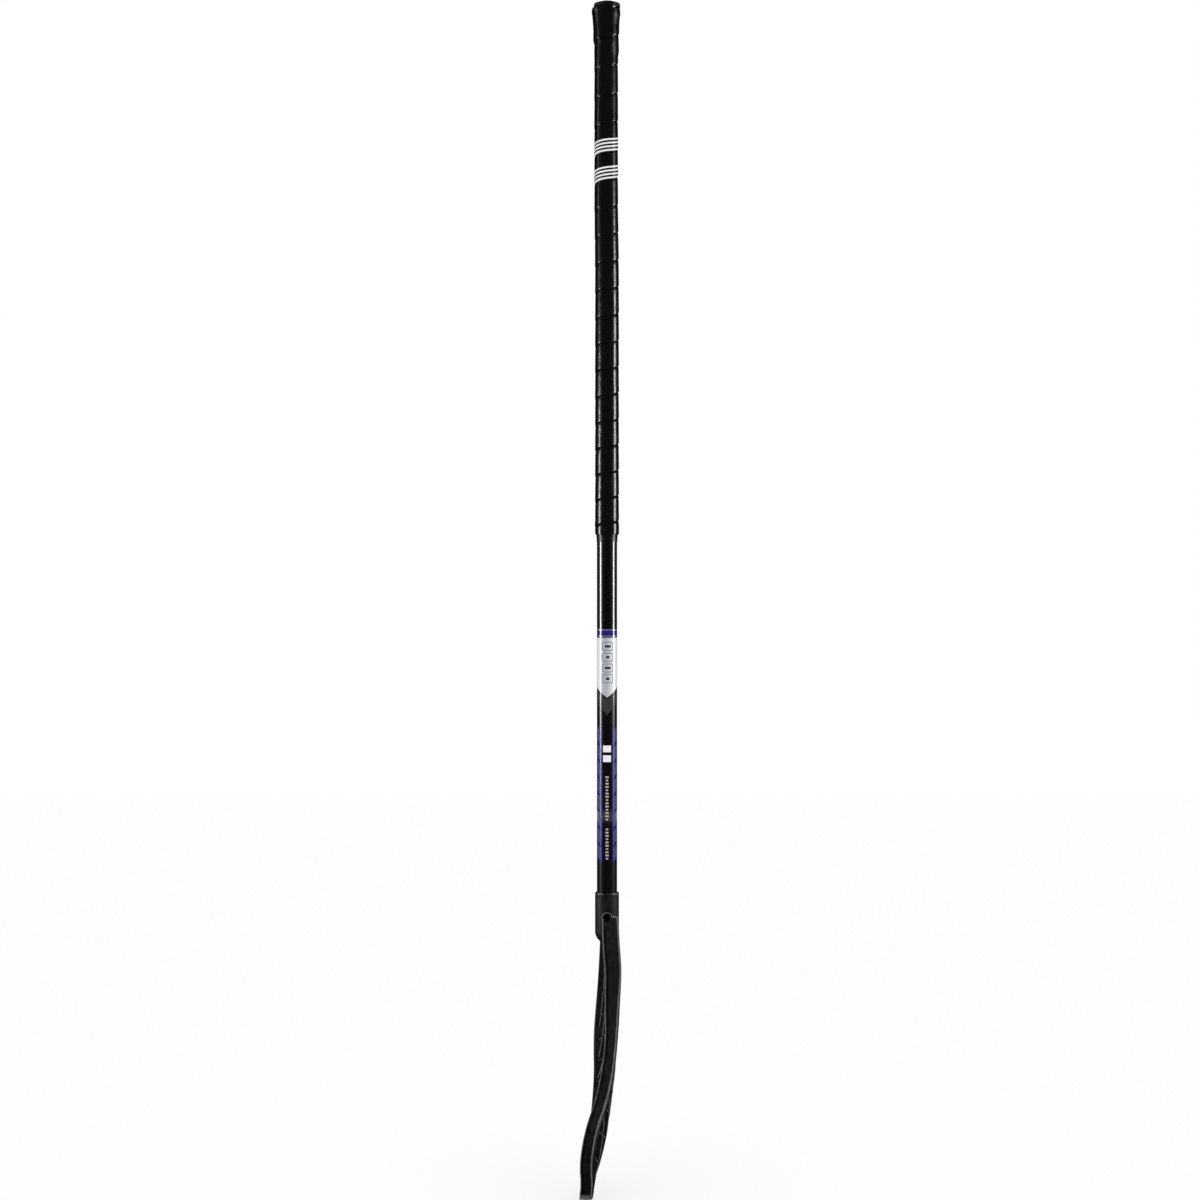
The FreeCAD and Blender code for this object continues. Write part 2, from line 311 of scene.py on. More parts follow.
@dataclass(frozen=True)
class PrintedInk:
    """Screen-printed ink under the shaft's lacquer: opaque and as glossy as the lacquer over it; a middle
    tone paints shade.
    """

    ink: Ink
    # A darker tone painted on the front's middle as shade, fading out to the ink's own colour at both sides;
    # none if empty
    middle: str = ""
    painted_shade_place: float = -1.5
    fade: Point = (1.5, 8.0)
    mottle_size: float = 4.0
    tones: Point = (0.94, 1.02)
    flake_share: float = 0.7

    def paint_middle_shade(self, tree: Tree, place: Socket) -> Socket:
        """Paint shade as a darker tone on the front's middle that fades out to the ink's colour at both
        sides.

        Args:
            tree: the finish's tree.
            place: its coordinates.

        Returns:
            The painted shade, as a colour.
        """
        axes = add_node(tree, "ShaderNodeSeparateXYZ", {}, {0: place})
        offset = calculate(tree, "SUBTRACT", axes.outputs["X"], self.painted_shade_place * MM)
        start, end = self.fade
        share = remap(tree, calculate(tree, "ABSOLUTE", offset), (start * MM, end * MM))
        return blend(tree, share, self.middle, self.ink.value)

    def material(self) -> Material:
        """Make the finish of one ink.

        Returns:
            The material.
        """
        shade = "_painted_shade" if self.middle else ""
        material, tree = blank_material(f"screen_print_{self.ink.name.lower()}{shade}_lacquered")
        place = object_place(tree)
        base = self.paint_middle_shade(tree, place) if self.middle else linear(self.ink.value)
        # An ink film is a little thinner in places, so its tone drifts.
        tone = remap(tree, soft_noise(tree, place, self.mottle_size, detail=2.0), target=self.tones)
        colour = add_node(tree, "ShaderNodeHueSaturation", {}, {"Color": base, "Value": tone})
        finish_surface(
            tree,
            {
                "Base Color": colour.outputs[0],
                # Silver ink is mostly metal flakes.
                "Metallic": self.flake_share if self.ink is Ink.SILVER else 0.0,
                "Roughness": 0.25,
                "Coat Weight": 0.8,
                "Coat Roughness": 0.05,
            },
        )
        return material


@dataclass(frozen=True)
class PolyurethaneTape:
    """Grip tape of polyurethane skin on felt: a soft black leather look with a broad, broken sheen."""

    name: str = "polyurethane_grip_skin"
    dark: str = "070707"
    light: str = "131211"
    grain_size: float = 1.3
    grain_depth: float = 0.3
    crease_size: float = 9.0
    crease_depth: float = 1.2
    roughest: float = 0.3
    smoothest: float = 0.17

    def material(self) -> Material:
        """Make the finish of the wound tape or, in other colours, of the stripes printed on it.

        Returns:
            The material.
        """
        material, tree = blank_material(self.name)
        place = object_place(tree)
        creases = soft_noise(tree, place, self.crease_size, detail=4.0)
        # The skin's real grain is about half as large; it is drawn this coarse to show.
        grain = add_node(
            tree,
            "ShaderNodeTexVoronoi",
            {"feature": "SMOOTH_F1"},
            {"Vector": place, "Scale": per_metre(self.grain_size)},
        )
        fine = bump(tree, grain.outputs["Distance"], strength=0.12, depth=self.grain_depth)
        finish_surface(
            tree,
            {
                "Base Color": blend(tree, creases, self.dark, self.light),
                # Handling polishes the high places.
                "Roughness": remap(tree, creases, NOISE_SPAN, (self.roughest, self.smoothest)),
                "IOR": 1.5,
                "Normal": bump(tree, creases, strength=0.25, depth=self.crease_depth, below=fine),
            },
        )
        return material


@dataclass(frozen=True)
class MouldedPlastic:
    """Plastic moulded in a lightly eroded tool: matte and faintly mottled; a pale tone paints worn edges and
    their highlight.
    """

    name: str
    dark: str
    light: str
    roughness: float
    mottle_size: float = 5.0
    grit_size: float = 0.9
    grit_depth: float = 0.3
    roughness_drift: float = 0.08
    fade: Point | None = None

    def faded(self, tree: Tree, place: Socket, share: Socket) -> Socket:
        """Let the light tone's share fade out between two levels.

        Args:
            tree: the finish's tree.
            place: its coordinates.
            share: the share without the fade.

        Returns:
            The share with it.
        """
        axes = add_node(tree, "ShaderNodeSeparateXYZ", {}, {0: place})
        low, high = self.fade
        level = remap(tree, axes.outputs["Z"], (low * MM, high * MM), (1.0, 0.0))
        return calculate(tree, "MULTIPLY", share, level)

    def material(self) -> Material:
        """Make the finish of one moulding.

        Returns:
            The material.
        """
        material, tree = blank_material(self.name)
        place = object_place(tree)
        mottle = soft_noise(tree, place, self.mottle_size, detail=5.0)
        share = remap(tree, mottle, NOISE_SPAN)
        if self.fade:
            share = self.faded(tree, place, share)
        # The tool's grit is about a fifth of this; it is drawn coarser to show.
        grit = soft_noise(tree, place, self.grit_size, detail=1.0)
        drift = (self.roughness - self.roughness_drift, self.roughness + self.roughness_drift)
        finish_surface(
            tree,
            {
                "Base Color": blend(tree, share, self.dark, self.light),
                "Roughness": remap(tree, mottle, target=drift),
                "IOR": 1.5,
                "Normal": bump(tree, grit, strength=0.2, depth=self.grit_depth),
            },
        )
        return material


@dataclass(frozen=True)
class BlackenedSteel:
    """Steel blackened with oxide: dark grey metal with a dull shine and rubbed spots."""

    dark: str = "1b1b1d"
    rubbed: str = "5a5b5e"
    spot_size: float = 1.5

    def material(self) -> Material:
        """Make the finish of the screw.

        Returns:
            The material.
        """
        material, tree = blank_material("black_oxide_steel_turned")
        spots = soft_noise(tree, object_place(tree), self.spot_size, detail=3.0)
        colour = blend(tree, spots, self.dark, self.rubbed)
        finish_surface(tree, {"Base Color": colour, "Metallic": 1.0, "Roughness": 0.38})
        return material


def skin(rows: Sequence[Sequence[Vector]], closed: bool, capped: bool) -> tuple[list[Vector], Faces]:
    """Span quads between rows of points that have the same count.

    Args:
        rows: the rows, in order.
        closed: whether each row is a ring.
        capped: whether the first and the last ring get a face.

    Returns:
        The points and the faces, row by row, with the caps last.
    """
    count = len(rows[0])
    points = [point for row in rows for point in row]
    steps = count if closed else count - 1
    faces: Faces = []
    for row in range(len(rows) - 1):
        low, high = row * count, (row + 1) * count
        for step in range(steps):
            after = (step + 1) % count
            faces.append((low + step, low + after, high + after, high + step))
    if capped:
        last = (len(rows) - 1) * count
        faces.append(tuple(range(count)))
        faces.append(tuple(range(last, last + count)))
    return points, faces


def join(meshes: Sequence[tuple[list[Vector], Faces]]) -> tuple[list[Vector], Faces]:
    """Put several meshes into one.

    Args:
        meshes: points and faces of each.

    Returns:
        The points and the faces of all, in order.
    """
    points: list[Vector] = []
    faces: Faces = []
    for mesh_points, mesh_faces in meshes:
        first = len(points)
        points += mesh_points
        faces += [tuple(first + corner for corner in face) for face in mesh_faces]
    return points, faces


def ring(radius: float, level: float, count: int) -> list[Vector]:
    """A ring of points about the shaft's axis, from +X round by +Y."""
    turns = [2 * math.pi * n / count for n in range(count)]
    return [Vector((radius * math.cos(a), radius * math.sin(a), level)) for a in turns]


def round_place(degrees: float, distance: float, level: float) -> Vector:
    """A place round the stick, by its angle from the front towards the right."""
    angle = math.radians(degrees)
    return Vector((distance * math.sin(angle), -distance * math.cos(angle), level))


def corner_points(
    center: Point, radius: float, start_degrees: float, end_degrees: float, count: int
) -> list[Point]:
    """Points of a rounded corner in a section.

    Args:
        center: the arc's middle.
        radius: the arc's radius.
        start_degrees: where it starts, from the first axis.
        end_degrees: where it ends.
        count: how many points it has.

    Returns:
        The points, both ends among them.
    """
    shares = [n / (count - 1) for n in range(count)]
    angles = [math.radians(start_degrees + (end_degrees - start_degrees) * s) for s in shares]
    return [(center[0] + radius * math.cos(a), center[1] + radius * math.sin(a)) for a in angles]


def make_piece(
    name: str,
    points: Sequence[Vector],
    faces: Faces,
    materials: Sequence[Material],
    face_slots: Sequence[int] = (),
    sharp_degrees: float = SHARP_DEGREES,
) -> Piece:
    """Make a smooth-shaded mesh object from points in millimetres.

    Args:
        name: the piece's name.
        points: its points.
        faces: its faces, as numbers of points.
        materials: its materials.
        face_slots: the material of each face, where there is more than one.
        sharp_degrees: the angle from which an edge stays sharp.

    Returns:
        The object, linked to the scene.
    """
    mesh = bpy.data.meshes.new(name)
    mesh.from_pydata([point * MM for point in points], [], faces)
    for material in materials:
        mesh.materials.append(material)
    for polygon, slot in zip(mesh.polygons, face_slots):
        polygon.material_index = slot
    tidy = bmesh.new()
    tidy.from_mesh(mesh)
    bmesh.ops.recalc_face_normals(tidy, faces=tidy.faces)
    tidy.to_mesh(mesh)
    tidy.free()
    mesh.shade_smooth()
    mesh.set_sharp_from_angle(angle=math.radians(sharp_degrees))
    piece = bpy.data.objects.new(name, mesh)
    bpy.context.scene.collection.objects.link(piece)
    return piece


def seat(piece: Piece, slot: str, *nodes: str) -> None:
    """Let a piece ride on the stick and stand for nodes of the frame.

    Args:
        piece: the piece.
        slot: not used.
        nodes: the nodes that it stands for, if any.
    """
    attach(piece, "root")
    if nodes:
        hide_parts(*nodes)
    stands_for = ", ".join(nodes) or "no node"
    log.info("%s: %d faces, stands for %s", piece.name, len(piece.data.polygons), stands_for)


def carve(piece: Piece, cutter: Piece) -> None:
    """Cut one closed piece with another and keep the result as its mesh.

    Args:
        piece: the piece that is cut.
        cutter: the form that is taken away.
    """
    cut = piece.modifiers.new("cut", "BOOLEAN")
    cut.operation = "DIFFERENCE"
    cut.object = cutter
    cut.solver = "EXACT"
    graph = bpy.context.evaluated_depsgraph_get()
    result = bpy.data.meshes.new_from_object(piece.evaluated_get(graph))
    piece.modifiers.clear()
    piece.data = result
    result.set_sharp_from_angle(angle=math.radians(SHARP_DEGREES))


@cache
def level_of(node: str, top: bool) -> float:
    """Level of a node's highest or lowest point, in millimetres."""
    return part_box(node)[1 if top else 0].z / MM


def through(shares: Sequence[float], values: Sequence[float], at: float) -> float:
    """Read a smooth curve through a few values.

    Args:
        shares: where the values stand, rising.
        values: the values.
        at: where the curve is read.

    Returns:
        The value there, from a cubic between its two neighbours.
    """
    at = min(max(at, shares[0]), shares[-1])
    last = len(shares) - 1
    step = max(n for n in range(last) if shares[n] <= at)

    def slope(n: int) -> float:
        """Slope of the curve at one of its values."""
        before, after = max(0, n - 1), min(last, n + 1)
        return (values[after] - values[before]) / (shares[after] - shares[before])

    width = shares[step + 1] - shares[step]
    t = (at - shares[step]) / width
    start, end = values[step], values[step + 1]
    leave, arrive = slope(step) * width, slope(step + 1) * width
    bend = 2 * start + leave - 2 * end + arrive
    return start + leave * t + (3 * end - 3 * start - 2 * leave - arrive) * t * t + bend * t**3


def smooth_step(at: float, start: float, end: float) -> float:
    """A soft step from 0 at a start to 1 at an end."""
    t = min(max((at - start) / (end - start), 0.0), 1.0)
    return t * t * (3 - 2 * t)


@dataclass
class Shaft:
    """The lacquered tube and the print under its lacquer."""

    radius: float = 9.93
    wall: float = 1.8
    end_bevel: float = 0.3
    segments: int = 128
    film: float = 0.03
    step_degrees: float = 4.0
    ring_drop: float = 93.2
    line_height: float = 1.2
    ring_height: float = 5.0
    label_drop: float = 101.6
    label_length: float = 46.6
    label_point: float = 12.1
    mark_count: int = 4
    mark_turn_degrees: float = 4.0
    mark_first: float = 8.4
    mark_pitch: float = 10.6
    mark_height: float = 2.4
    mark_halves_degrees: tuple[float, float] = (17.0, 10.2)
    # Painted shade on the label's middle, fading out to the white ink at its sides
    label_painted_shade: str = "b4b8c0"
    frame_width: float = 11.2
    frame_height: float = 8.7
    frame_line: float = 0.8
    frame_rounding: float = 2.0
    chevron_gap: float = 1.5
    chevron_drop: float = 177.7
    chevron_rise: float = 12.4
    chevron_half_degrees: float = 60.0
    bar_drop: float = 190.6
    bar_count: int = 8
    bar_pitch: float = 16.4
    bar_height: float = 13.8
    bar_slant: float = 2.2
    bar_edge: float = 1.4
    bar_half_degrees: float = 22.0
    bar_places_degrees: tuple[float, float] = (-53.0, 56.0)
    block_drop: float = 207.3
    block_count: int = 2
    block_pitch: float = 9.6
    block_height: float = 6.6
    block_half_degrees: float = 23.0
    tick_drop: float = 237.5
    tick_count: int = 26
    tick_gap: tuple[int, int] = (14, 15)
    tick_pitch: float = 3.2
    tick_height: float = 1.7
    tick_halves_degrees: tuple[float, float, float] = (9.5, 6.5, 8.5)

    def build(self) -> None:
        """Build the tube and its print."""
        self.build_tube()
        self.build_print()

    def build_tube(self) -> None:
        """Build the hollow tube with broken end edges."""
        low, high = level_of("shaft_tube", False), level_of("shaft_tube", True)
        bore = self.radius - self.wall
        section = [
            (bore, low),
            (self.radius - self.end_bevel, low),
            (self.radius, low + self.end_bevel),
            (self.radius, high - self.end_bevel),
            (self.radius - self.end_bevel, high),
            (bore, high),
            (bore, low),
        ]
        points, faces = skin([ring(r, z, self.segments) for r, z in section], True, False)
        tube = make_piece("shaft_tube_lacquered", points, faces, [LacqueredComposite().material()])
        seat(tube, "shaft_lacquer", "shaft_tube")

    def film_point(self, degrees: float, level: float, lift: float) -> Vector:
        """A point of a print film, by its angle from the front towards the right."""
        return round_place(degrees, self.radius + lift, level)

    def patch(
        self,
        start_degrees: float,
        end_degrees: float,
        top: Callable[[float], float],
        bottom: Callable[[float], float],
        lift: float,
    ) -> Rows:
        """Lay a film on the tube between two angles.

        Args:
            start_degrees: left end, from the front towards the right.
            end_degrees: right end.
            top: level of the upper edge at an angle.
            bottom: level of the lower edge at an angle.
            lift: height of the film over the tube.

        Returns:
            Rows of two points, from left to right.
        """
        count = max(1, math.ceil((end_degrees - start_degrees) / self.step_degrees))
        angles = [start_degrees + (end_degrees - start_degrees) * n / count for n in range(count + 1)]
        return [[self.film_point(a, top(a), lift), self.film_point(a, bottom(a), lift)] for a in angles]

    def print_piece(self, name: str, ink: PrintedInk, patches: Sequence[Rows]) -> None:
        """Make one piece of all films of an ink.

        Args:
            name: the piece's name.
            ink: its ink.
            patches: its films.
        """
        points, faces = join([skin(rows, False, False) for rows in patches])
        seat(make_piece(name, points, faces, [ink.material()]), "shaft_lacquer")

    def band(self, top: float, height: float, lift: float) -> Rows:
        """A film right round the tube, with level edges."""
        return self.patch(-180.0, 180.0, lambda a: top, lambda a: top - height, lift)

    def build_print(self) -> None:
        """Print the ring, the pointed label with its shield, the slanted bars, the blocks and the ticks."""
        start = level_of("grip_tape", False)
        ring_top = start - self.ring_drop
        blue_top = ring_top - self.line_height
        blue_bottom = blue_top - self.ring_height
        lines = [self.band(top, self.line_height, self.film) for top in (ring_top, blue_bottom)]
        self.print_piece("shaft_print_lines", PrintedInk(Ink.SILVER), lines)
        blue = self.band(blue_top, self.ring_height, self.film)
        self.print_piece("shaft_print_ring", PrintedInk(Ink.NAVY), [blue])
        self.print_label(start)
        self.print_bars(start)
        blocks = []
        for number in range(self.block_count):
            top = start - self.block_drop - self.block_pitch * number
            blocks.append(self.slanted(0.0, self.block_half_degrees, top, self.block_height, 0.0, self.film))
        self.print_piece("shaft_print_blocks", PrintedInk(Ink.WHITE), blocks)
        ticks = []
        for number in range(self.tick_count):
            if number not in self.tick_gap:
                top = start - self.tick_drop - self.tick_pitch * number
                half = self.tick_halves_degrees[number % len(self.tick_halves_degrees)]
                ticks.append(self.slanted(0.0, half, top, self.tick_height, 0.0, self.film))
        self.print_piece("shaft_print_ticks", PrintedInk(Ink.PALE), ticks)

    def slanted(
        self, middle: float, half: float, top: float, height: float, slant: float, lift: float
    ) -> Rows:
        """Lay a film with parallel, slanted upper and lower edges.

        Args:
            middle: its middle's angle from the front towards the right.
            half: half of the angle that it covers.
            top: level of its upper edge in the middle.
            height: its height.
            slant: how much its right end stands over its middle.
            lift: height of the film over the tube.

        Returns:
            Rows of two points, from left to right.
        """

        def edge(degrees: float) -> float:
            """Level of the upper edge."""
            return top + slant * (degrees - middle) / half

        return self.patch(middle - half, middle + half, edge, lambda a: edge(a) - height, lift)

    def rounded(
        self, level: float, width: float, height: float, rounding: float, lift: float
    ) -> Rows:
        """Lay a film with rounded corners on the front, in the column of the marks.

        Args:
            level: its middle's level.
            width: its width round the tube.
            height: its height.
            rounding: radius of its corners.
            lift: height of the film over the tube.

        Returns:
            Rows of two points, from left to right.
        """
        middle, half = self.mark_turn_degrees, math.degrees(width / 2 / self.radius)

        def reach(degrees: float) -> float:
            """Half of the film's height at an angle."""
            short = max(0.0, rounding - width / 2 + self.radius * math.radians(abs(degrees - middle)))
            return height / 2 - rounding + math.sqrt(max(0.0, rounding**2 - short**2))

        return self.patch(
            middle - half, middle + half, lambda a: level + reach(a), lambda a: level - reach(a), lift
        )

    def print_label(self, start: float) -> None:
        """Print the pointed label with its framed marks and the shield under its point.

        Args:
            start: level of the grip's lower end.
        """
        label_top = start - self.label_drop
        label_low = label_top - self.label_length

        def label_edge(degrees: float) -> float:
            """Lower edge of the label, which runs to a point at the front and at the back."""
            off_side = abs(abs(degrees) - 90.0) / 90.0
            return label_low - self.label_point * off_side

        fields = [self.patch(-180.0, 180.0, lambda a: label_top, label_edge, self.film)]
        frames, marks = [], []
        width, height, line = self.frame_width, self.frame_height, self.frame_line
        rounding, turn = self.frame_rounding, self.mark_turn_degrees
        # Each layer of ink lies one film over the one below it.
        for number in range(self.mark_count):
            level = label_top - self.mark_first - self.mark_pitch * number
            frames.append(self.rounded(level, width, height, rounding, 2 * self.film))
            fields.append(
                self.rounded(level, width - 2 * line, height - 2 * line, rounding - line, 3 * self.film)
            )
            half = self.mark_halves_degrees[number % len(self.mark_halves_degrees)]
            top = level + self.mark_height / 2
            marks.append(self.slanted(turn, half, top, self.mark_height, 0.0, 4 * self.film))
        # The label's white ink carries painted shade on its middle.
        self.print_piece("shaft_print_label", PrintedInk(Ink.WHITE, middle=self.label_painted_shade), fields)
        self.print_piece("shaft_print_frames", PrintedInk(Ink.ASH), frames)
        self.print_piece("shaft_print_marks", PrintedInk(Ink.CHARCOAL), marks)
        shield = self.patch(
            -self.chevron_half_degrees,
            self.chevron_half_degrees,
            lambda a: label_edge(a) - self.chevron_gap,
            lambda a: start - self.chevron_drop + self.chevron_rise * abs(a) / self.chevron_half_degrees,
            self.film,
        )
        self.print_piece("shaft_print_shield", PrintedInk(Ink.CHARCOAL), [shield])

    def print_bars(self, start: float) -> None:
        """Print the two columns of slanted bars, grey with a blue edge.

        Args:
            start: level of the grip's lower end.
        """
        edges, bars = [], []
        half = self.bar_half_degrees
        inner = half - math.degrees(self.bar_edge / self.radius)
        height = self.bar_height - 2 * self.bar_edge
        for middle in self.bar_places_degrees:
            slant = math.copysign(self.bar_slant, middle)
            for number in range(self.bar_count):
                top = start - self.bar_drop - self.bar_pitch * number
                edges.append(self.slanted(middle, half, top, self.bar_height, slant, self.film))
                bars.append(self.slanted(middle, inner, top - self.bar_edge, height, slant, 2 * self.film))
        self.print_piece("shaft_print_bar_edges", PrintedInk(Ink.BLUE), edges)
        self.print_piece("shaft_print_bars", PrintedInk(Ink.GREY), bars)


@dataclass
class GripTape:
    """The wound tape: one soft strip with printed stripes, each turn's lip lapped over the turn below."""

    base_radius: float = 9.75
    thickness: float = 1.7
    lip: float = 0.3
    lip_fade: float = 11.0
    lap: float = 4.0
    edge_depth: float = 0.7
    edge_width: float = 1.6
    edge_point_shares: tuple[float, ...] = (0.0, 0.3, 0.6, 0.9)
    covered_depth: float = 0.65
    sink_width: float = 1.3
    sink_point_shares: tuple[float, ...] = (-5.0, -2.0, -1.0, -0.6, -0.2, 0.2, 0.6)
    bond: float = 0.1
    lip_tuck: float = 0.4
    bulge: float = 0.25
    first_pitch: float = 24.65
    pitch_growth: float = 0.212
    sway: float = 0.1075
    first_seam_rise: float = 16.5
    early_turns: int = 2
    steps_per_turn: int = 72
    sharp_degrees: float = 50.0
    stripe_width: float = 1.7
    stripe_count: int = 4
    stripe_first: float = 1.3
    stripe_pitch: float = 3.5
    stripe_turns: tuple[float, float] = (12.25, 14.25)
    end_band: float = 13.0
    end_band_fade: float = 1.5
    end_swell: float = 0.3
    knob_swell: float = 2.3
    knob_waist: float = 1.1
    knob_rise: float = 0.85
    knob_edge: float = 4.0
    knob_length: float = 39.4
    knob_tilt: float = 5.9
    knob_fold: float = 6.0
    wrinkle: float = 0.07
    knob_wrinkle: float = 0.55
    wrinkle_size: float = 7.0
    wrinkle_stretch: float = 0.8
    crease_share: float = 0.4
    crease_scale: float = 2.6
    edge_wander: float = 0.5
    wanders_per_turn: float = 2.3
    thicker_left: float = 0.8
    thicker_drops: tuple[float, float] = (270.0, 180.0)

    def seam_level(self, turns: float) -> float:
        """Follow the strip's lower edge, whose turns open out upwards and rise less in front.

        Args:
            turns: turns from the right side.

        Returns:
            The edge's level.
        """
        swayed = turns - self.sway * math.cos(2 * math.pi * turns)
        rise = self.first_pitch * swayed + self.pitch_growth * swayed * swayed / 2
        return level_of("grip_tape", False) + self.first_seam_rise + rise

    def swell(self, drop: float, side: float) -> float:
        """How far the tape stands out over the butt cap's flare and its own last turn.

        Args:
            drop: distance below the grip's upper end.
            side: place across, from -1 at the left to 1 at the right.

        Returns:
            The extra radius.
        """
        length, half_fold = self.knob_length, self.knob_fold / 2
        fold = length + self.knob_tilt * side
        rise = self.knob_rise * (1 - smooth_step(drop, fold - half_fold, fold + half_fold))
        waist = (self.knob_waist - self.knob_rise) * (1 - smooth_step(drop, length / 2, length))
        head = (self.knob_swell - self.knob_waist) * (1 - smooth_step(drop, self.knob_edge, length / 2))
        edge = 1 - math.sqrt(max(0.0, 1 - max(0.0, 1 - drop / self.knob_edge) ** 2))
        return rise + waist + head - edge * self.knob_waist

    def stripes(self) -> list[float]:
        """Places across the strip of the printed stripes' middles."""
        return [self.stripe_first + self.stripe_pitch * n for n in range(self.stripe_count)]

    def places(self, width: float) -> list[float]:
        """Places across the strip where its skin has points, close together at its edges.

        Args:
            width: the strip's whole width.

        Returns:
            The places, from the lower lip to the covered edge.
        """
        seam, half = width - self.lap, self.stripe_width / 2
        lip = [self.edge_width * share for share in self.edge_point_shares]
        stripes = [stripe + side * half for stripe in self.stripes() for side in (-1, 0, 1)]
        sunk = [seam + self.sink_width * share for share in self.sink_point_shares]
        return sorted(lip + stripes + sunk + [width])

    def height(self, across: float, width: float) -> float:
        """Height of the strip's skin over the shaft, with its raised lower lip and its sunk upper edge.

        Args:
            across: place across the strip.
            width: the strip's whole width.

        Returns:
            The height.
        """
        seam = width - self.lap
        edge = self.edge_depth * (1 - smooth_step(across, 0.0, self.edge_width))
        lip = self.lip * (1 - smooth_step(across, self.edge_width, self.lip_fade))
        sink = self.covered_depth * smooth_step(across, seam - self.sink_width, seam + self.sink_width / 2)
        bulge = self.bulge * max(0.0, 1 - (2 * across / seam - 1) ** 2)
        return self.thickness + lip + bulge - edge - sink

    def section(self, width: float) -> list[Point]:
        """The strip's section, as places across it and heights over the shaft.

        Args:
            width: the strip's whole width.

        Returns:
            A closed loop: the outer skin from the lower lip to the covered edge, then the inner side.
        """
        outer = [(across, self.height(across, width)) for across in self.places(width)]
        inner = [(width, self.bond), (width / 2, self.bond / 2), (self.lap, self.bond)]
        return [*outer, *inner, (self.lip_tuck, self.thickness - self.covered_depth)]

    def build(self) -> None:
        """Wind the strip and print its stripes."""
        low, high = level_of("grip_tape", False), level_of("grip_tape", True)
        rows: Rows = []
        turns_of: list[float] = []
        step = -self.early_turns * self.steps_per_turn
        while self.seam_level(step / self.steps_per_turn) < high:
            turns = step / self.steps_per_turn
            if self.seam_level(turns + 1) + self.lap > low:
                rows.append(self.row(turns, low, high))
                turns_of.append(turns)
            step += 1
        points, faces = skin(rows, True, True)
        count = len(rows[0])
        places = self.places(self.first_pitch + self.lap)
        middles = [(a + b) / 2 for a, b in zip(places, places[1:])]
        half = self.stripe_width / 2
        striped = {n for n, m in enumerate(middles) if any(abs(m - s) < half for s in self.stripes())}
        start, end = self.stripe_turns
        slots = []
        for number in range(len(faces)):
            row, column = divmod(number, count)
            inside = row < len(turns_of) and start <= turns_of[row] < end
            slots.append(1 if inside and column in striped else 0)
        # White ink on the tape's skin: it takes the skin's grain, and is duller than the polished skin.
        ink = PolyurethaneTape(
            name="polyurethane_grip_skin_white_print",
            dark="e6e6e2",
            light="f6f6f3",
            roughest=0.5,
            smoothest=0.4,
        )
        finishes = [PolyurethaneTape().material(), ink.material()]
        tape = make_piece("grip_tape_wound", points, faces, finishes, slots, self.sharp_degrees)
        seat(tape, "grip_polyurethane", "grip_tape")

    def row(self, turns: float, low: float, high: float) -> list[Vector]:
        """One section of the strip in its place.

        Args:
            turns: turns from the right side.
            low: level of the grip's lower end, where the strip is trimmed.
            high: level of its upper end.

        Returns:
            The section's points.
        """
        angle = 2 * math.pi * turns
        side = math.cos(angle)
        drift = Vector((turns * self.wanders_per_turn, NOISE_HALFWAY, 0.0))
        seam = self.seam_level(turns) + self.edge_wander * noise.noise(drift)
        width = self.seam_level(turns + 1) + self.lap - self.seam_level(turns)
        points = []
        for across, height in self.section(width):
            level = min(max(seam + across, low), high)
            drop = high - level
            radius = self.base_radius + height + self.swell(drop, side)
            in_band = smooth_step(level - low, self.end_band + self.end_band_fade, self.end_band)
            dome = 1 - ((level - low) / self.end_band * 2 - 1) ** 2
            radius += self.end_swell * in_band * max(0.0, dome)
            knob = 1 - smooth_step(drop, self.knob_length, self.knob_length + 2 * self.knob_fold)
            size = self.wrinkle + (self.knob_wrinkle - self.wrinkle) * knob
            place = Vector((radius * side, radius * math.sin(angle), level * self.wrinkle_stretch))
            place /= self.wrinkle_size
            if height > self.thickness / 2:
                creases = self.crease_share * noise.noise(place * self.crease_scale)
                radius += size * (noise.noise(place) + creases)
            aside = self.thicker_left * smooth_step(drop, *self.thicker_drops)
            points.append(Vector((radius * side - aside, radius * math.sin(angle), level)))
        return points


@dataclass
class FinishingTape:
    """The narrow band of vinyl tape under the grip, wound a little more than once so that its end shows."""

    inner_radius: float = 9.7
    thickness_above: float = 0.8
    thickness_below: float = 0.42
    end_step: float = 0.14
    middle_share: float = 0.6
    edge_rounding: float = 0.12
    end_degrees: float = 60.0
    segments: int = 120

    def build(self) -> None:
        """Build the band."""
        low, high = level_of("finishing_tape", False), level_of("finishing_tape", True)
        above = self.inner_radius + self.thickness_above
        below = self.inner_radius + self.thickness_below
        middle = above * self.middle_share + below * (1 - self.middle_share)
        rounding = self.edge_rounding
        section = [
            (self.inner_radius, high),
            (above - rounding, high),
            (above, high - rounding),
            (middle - rounding, (high + low) / 2),
            (below, low + rounding),
            (below - rounding, low),
            (self.inner_radius, low),
        ]
        rows = []
        for number in range(self.segments + 1):
            share = number / self.segments
            angle = math.radians(self.end_degrees) + 2 * math.pi * share
            lift = self.end_step * share
            radii = [(r + (lift if r > self.inner_radius else 0.0), z) for r, z in section]
            rows.append([Vector((r * math.cos(angle), r * math.sin(angle), z)) for r, z in radii])
        points, faces = skin(rows, True, True)
        # Rolled vinyl is smoother and more even than the mouldings.
        vinyl = MouldedPlastic(
            "vinyl_tape_calendered", "08080a", "111113", 0.3, mottle_size=3.0, grit_size=0.7
        )
        band = make_piece("finishing_tape_band", points, faces, [vinyl.material()])
        seat(band, "vinyl_tape", "finishing_tape")


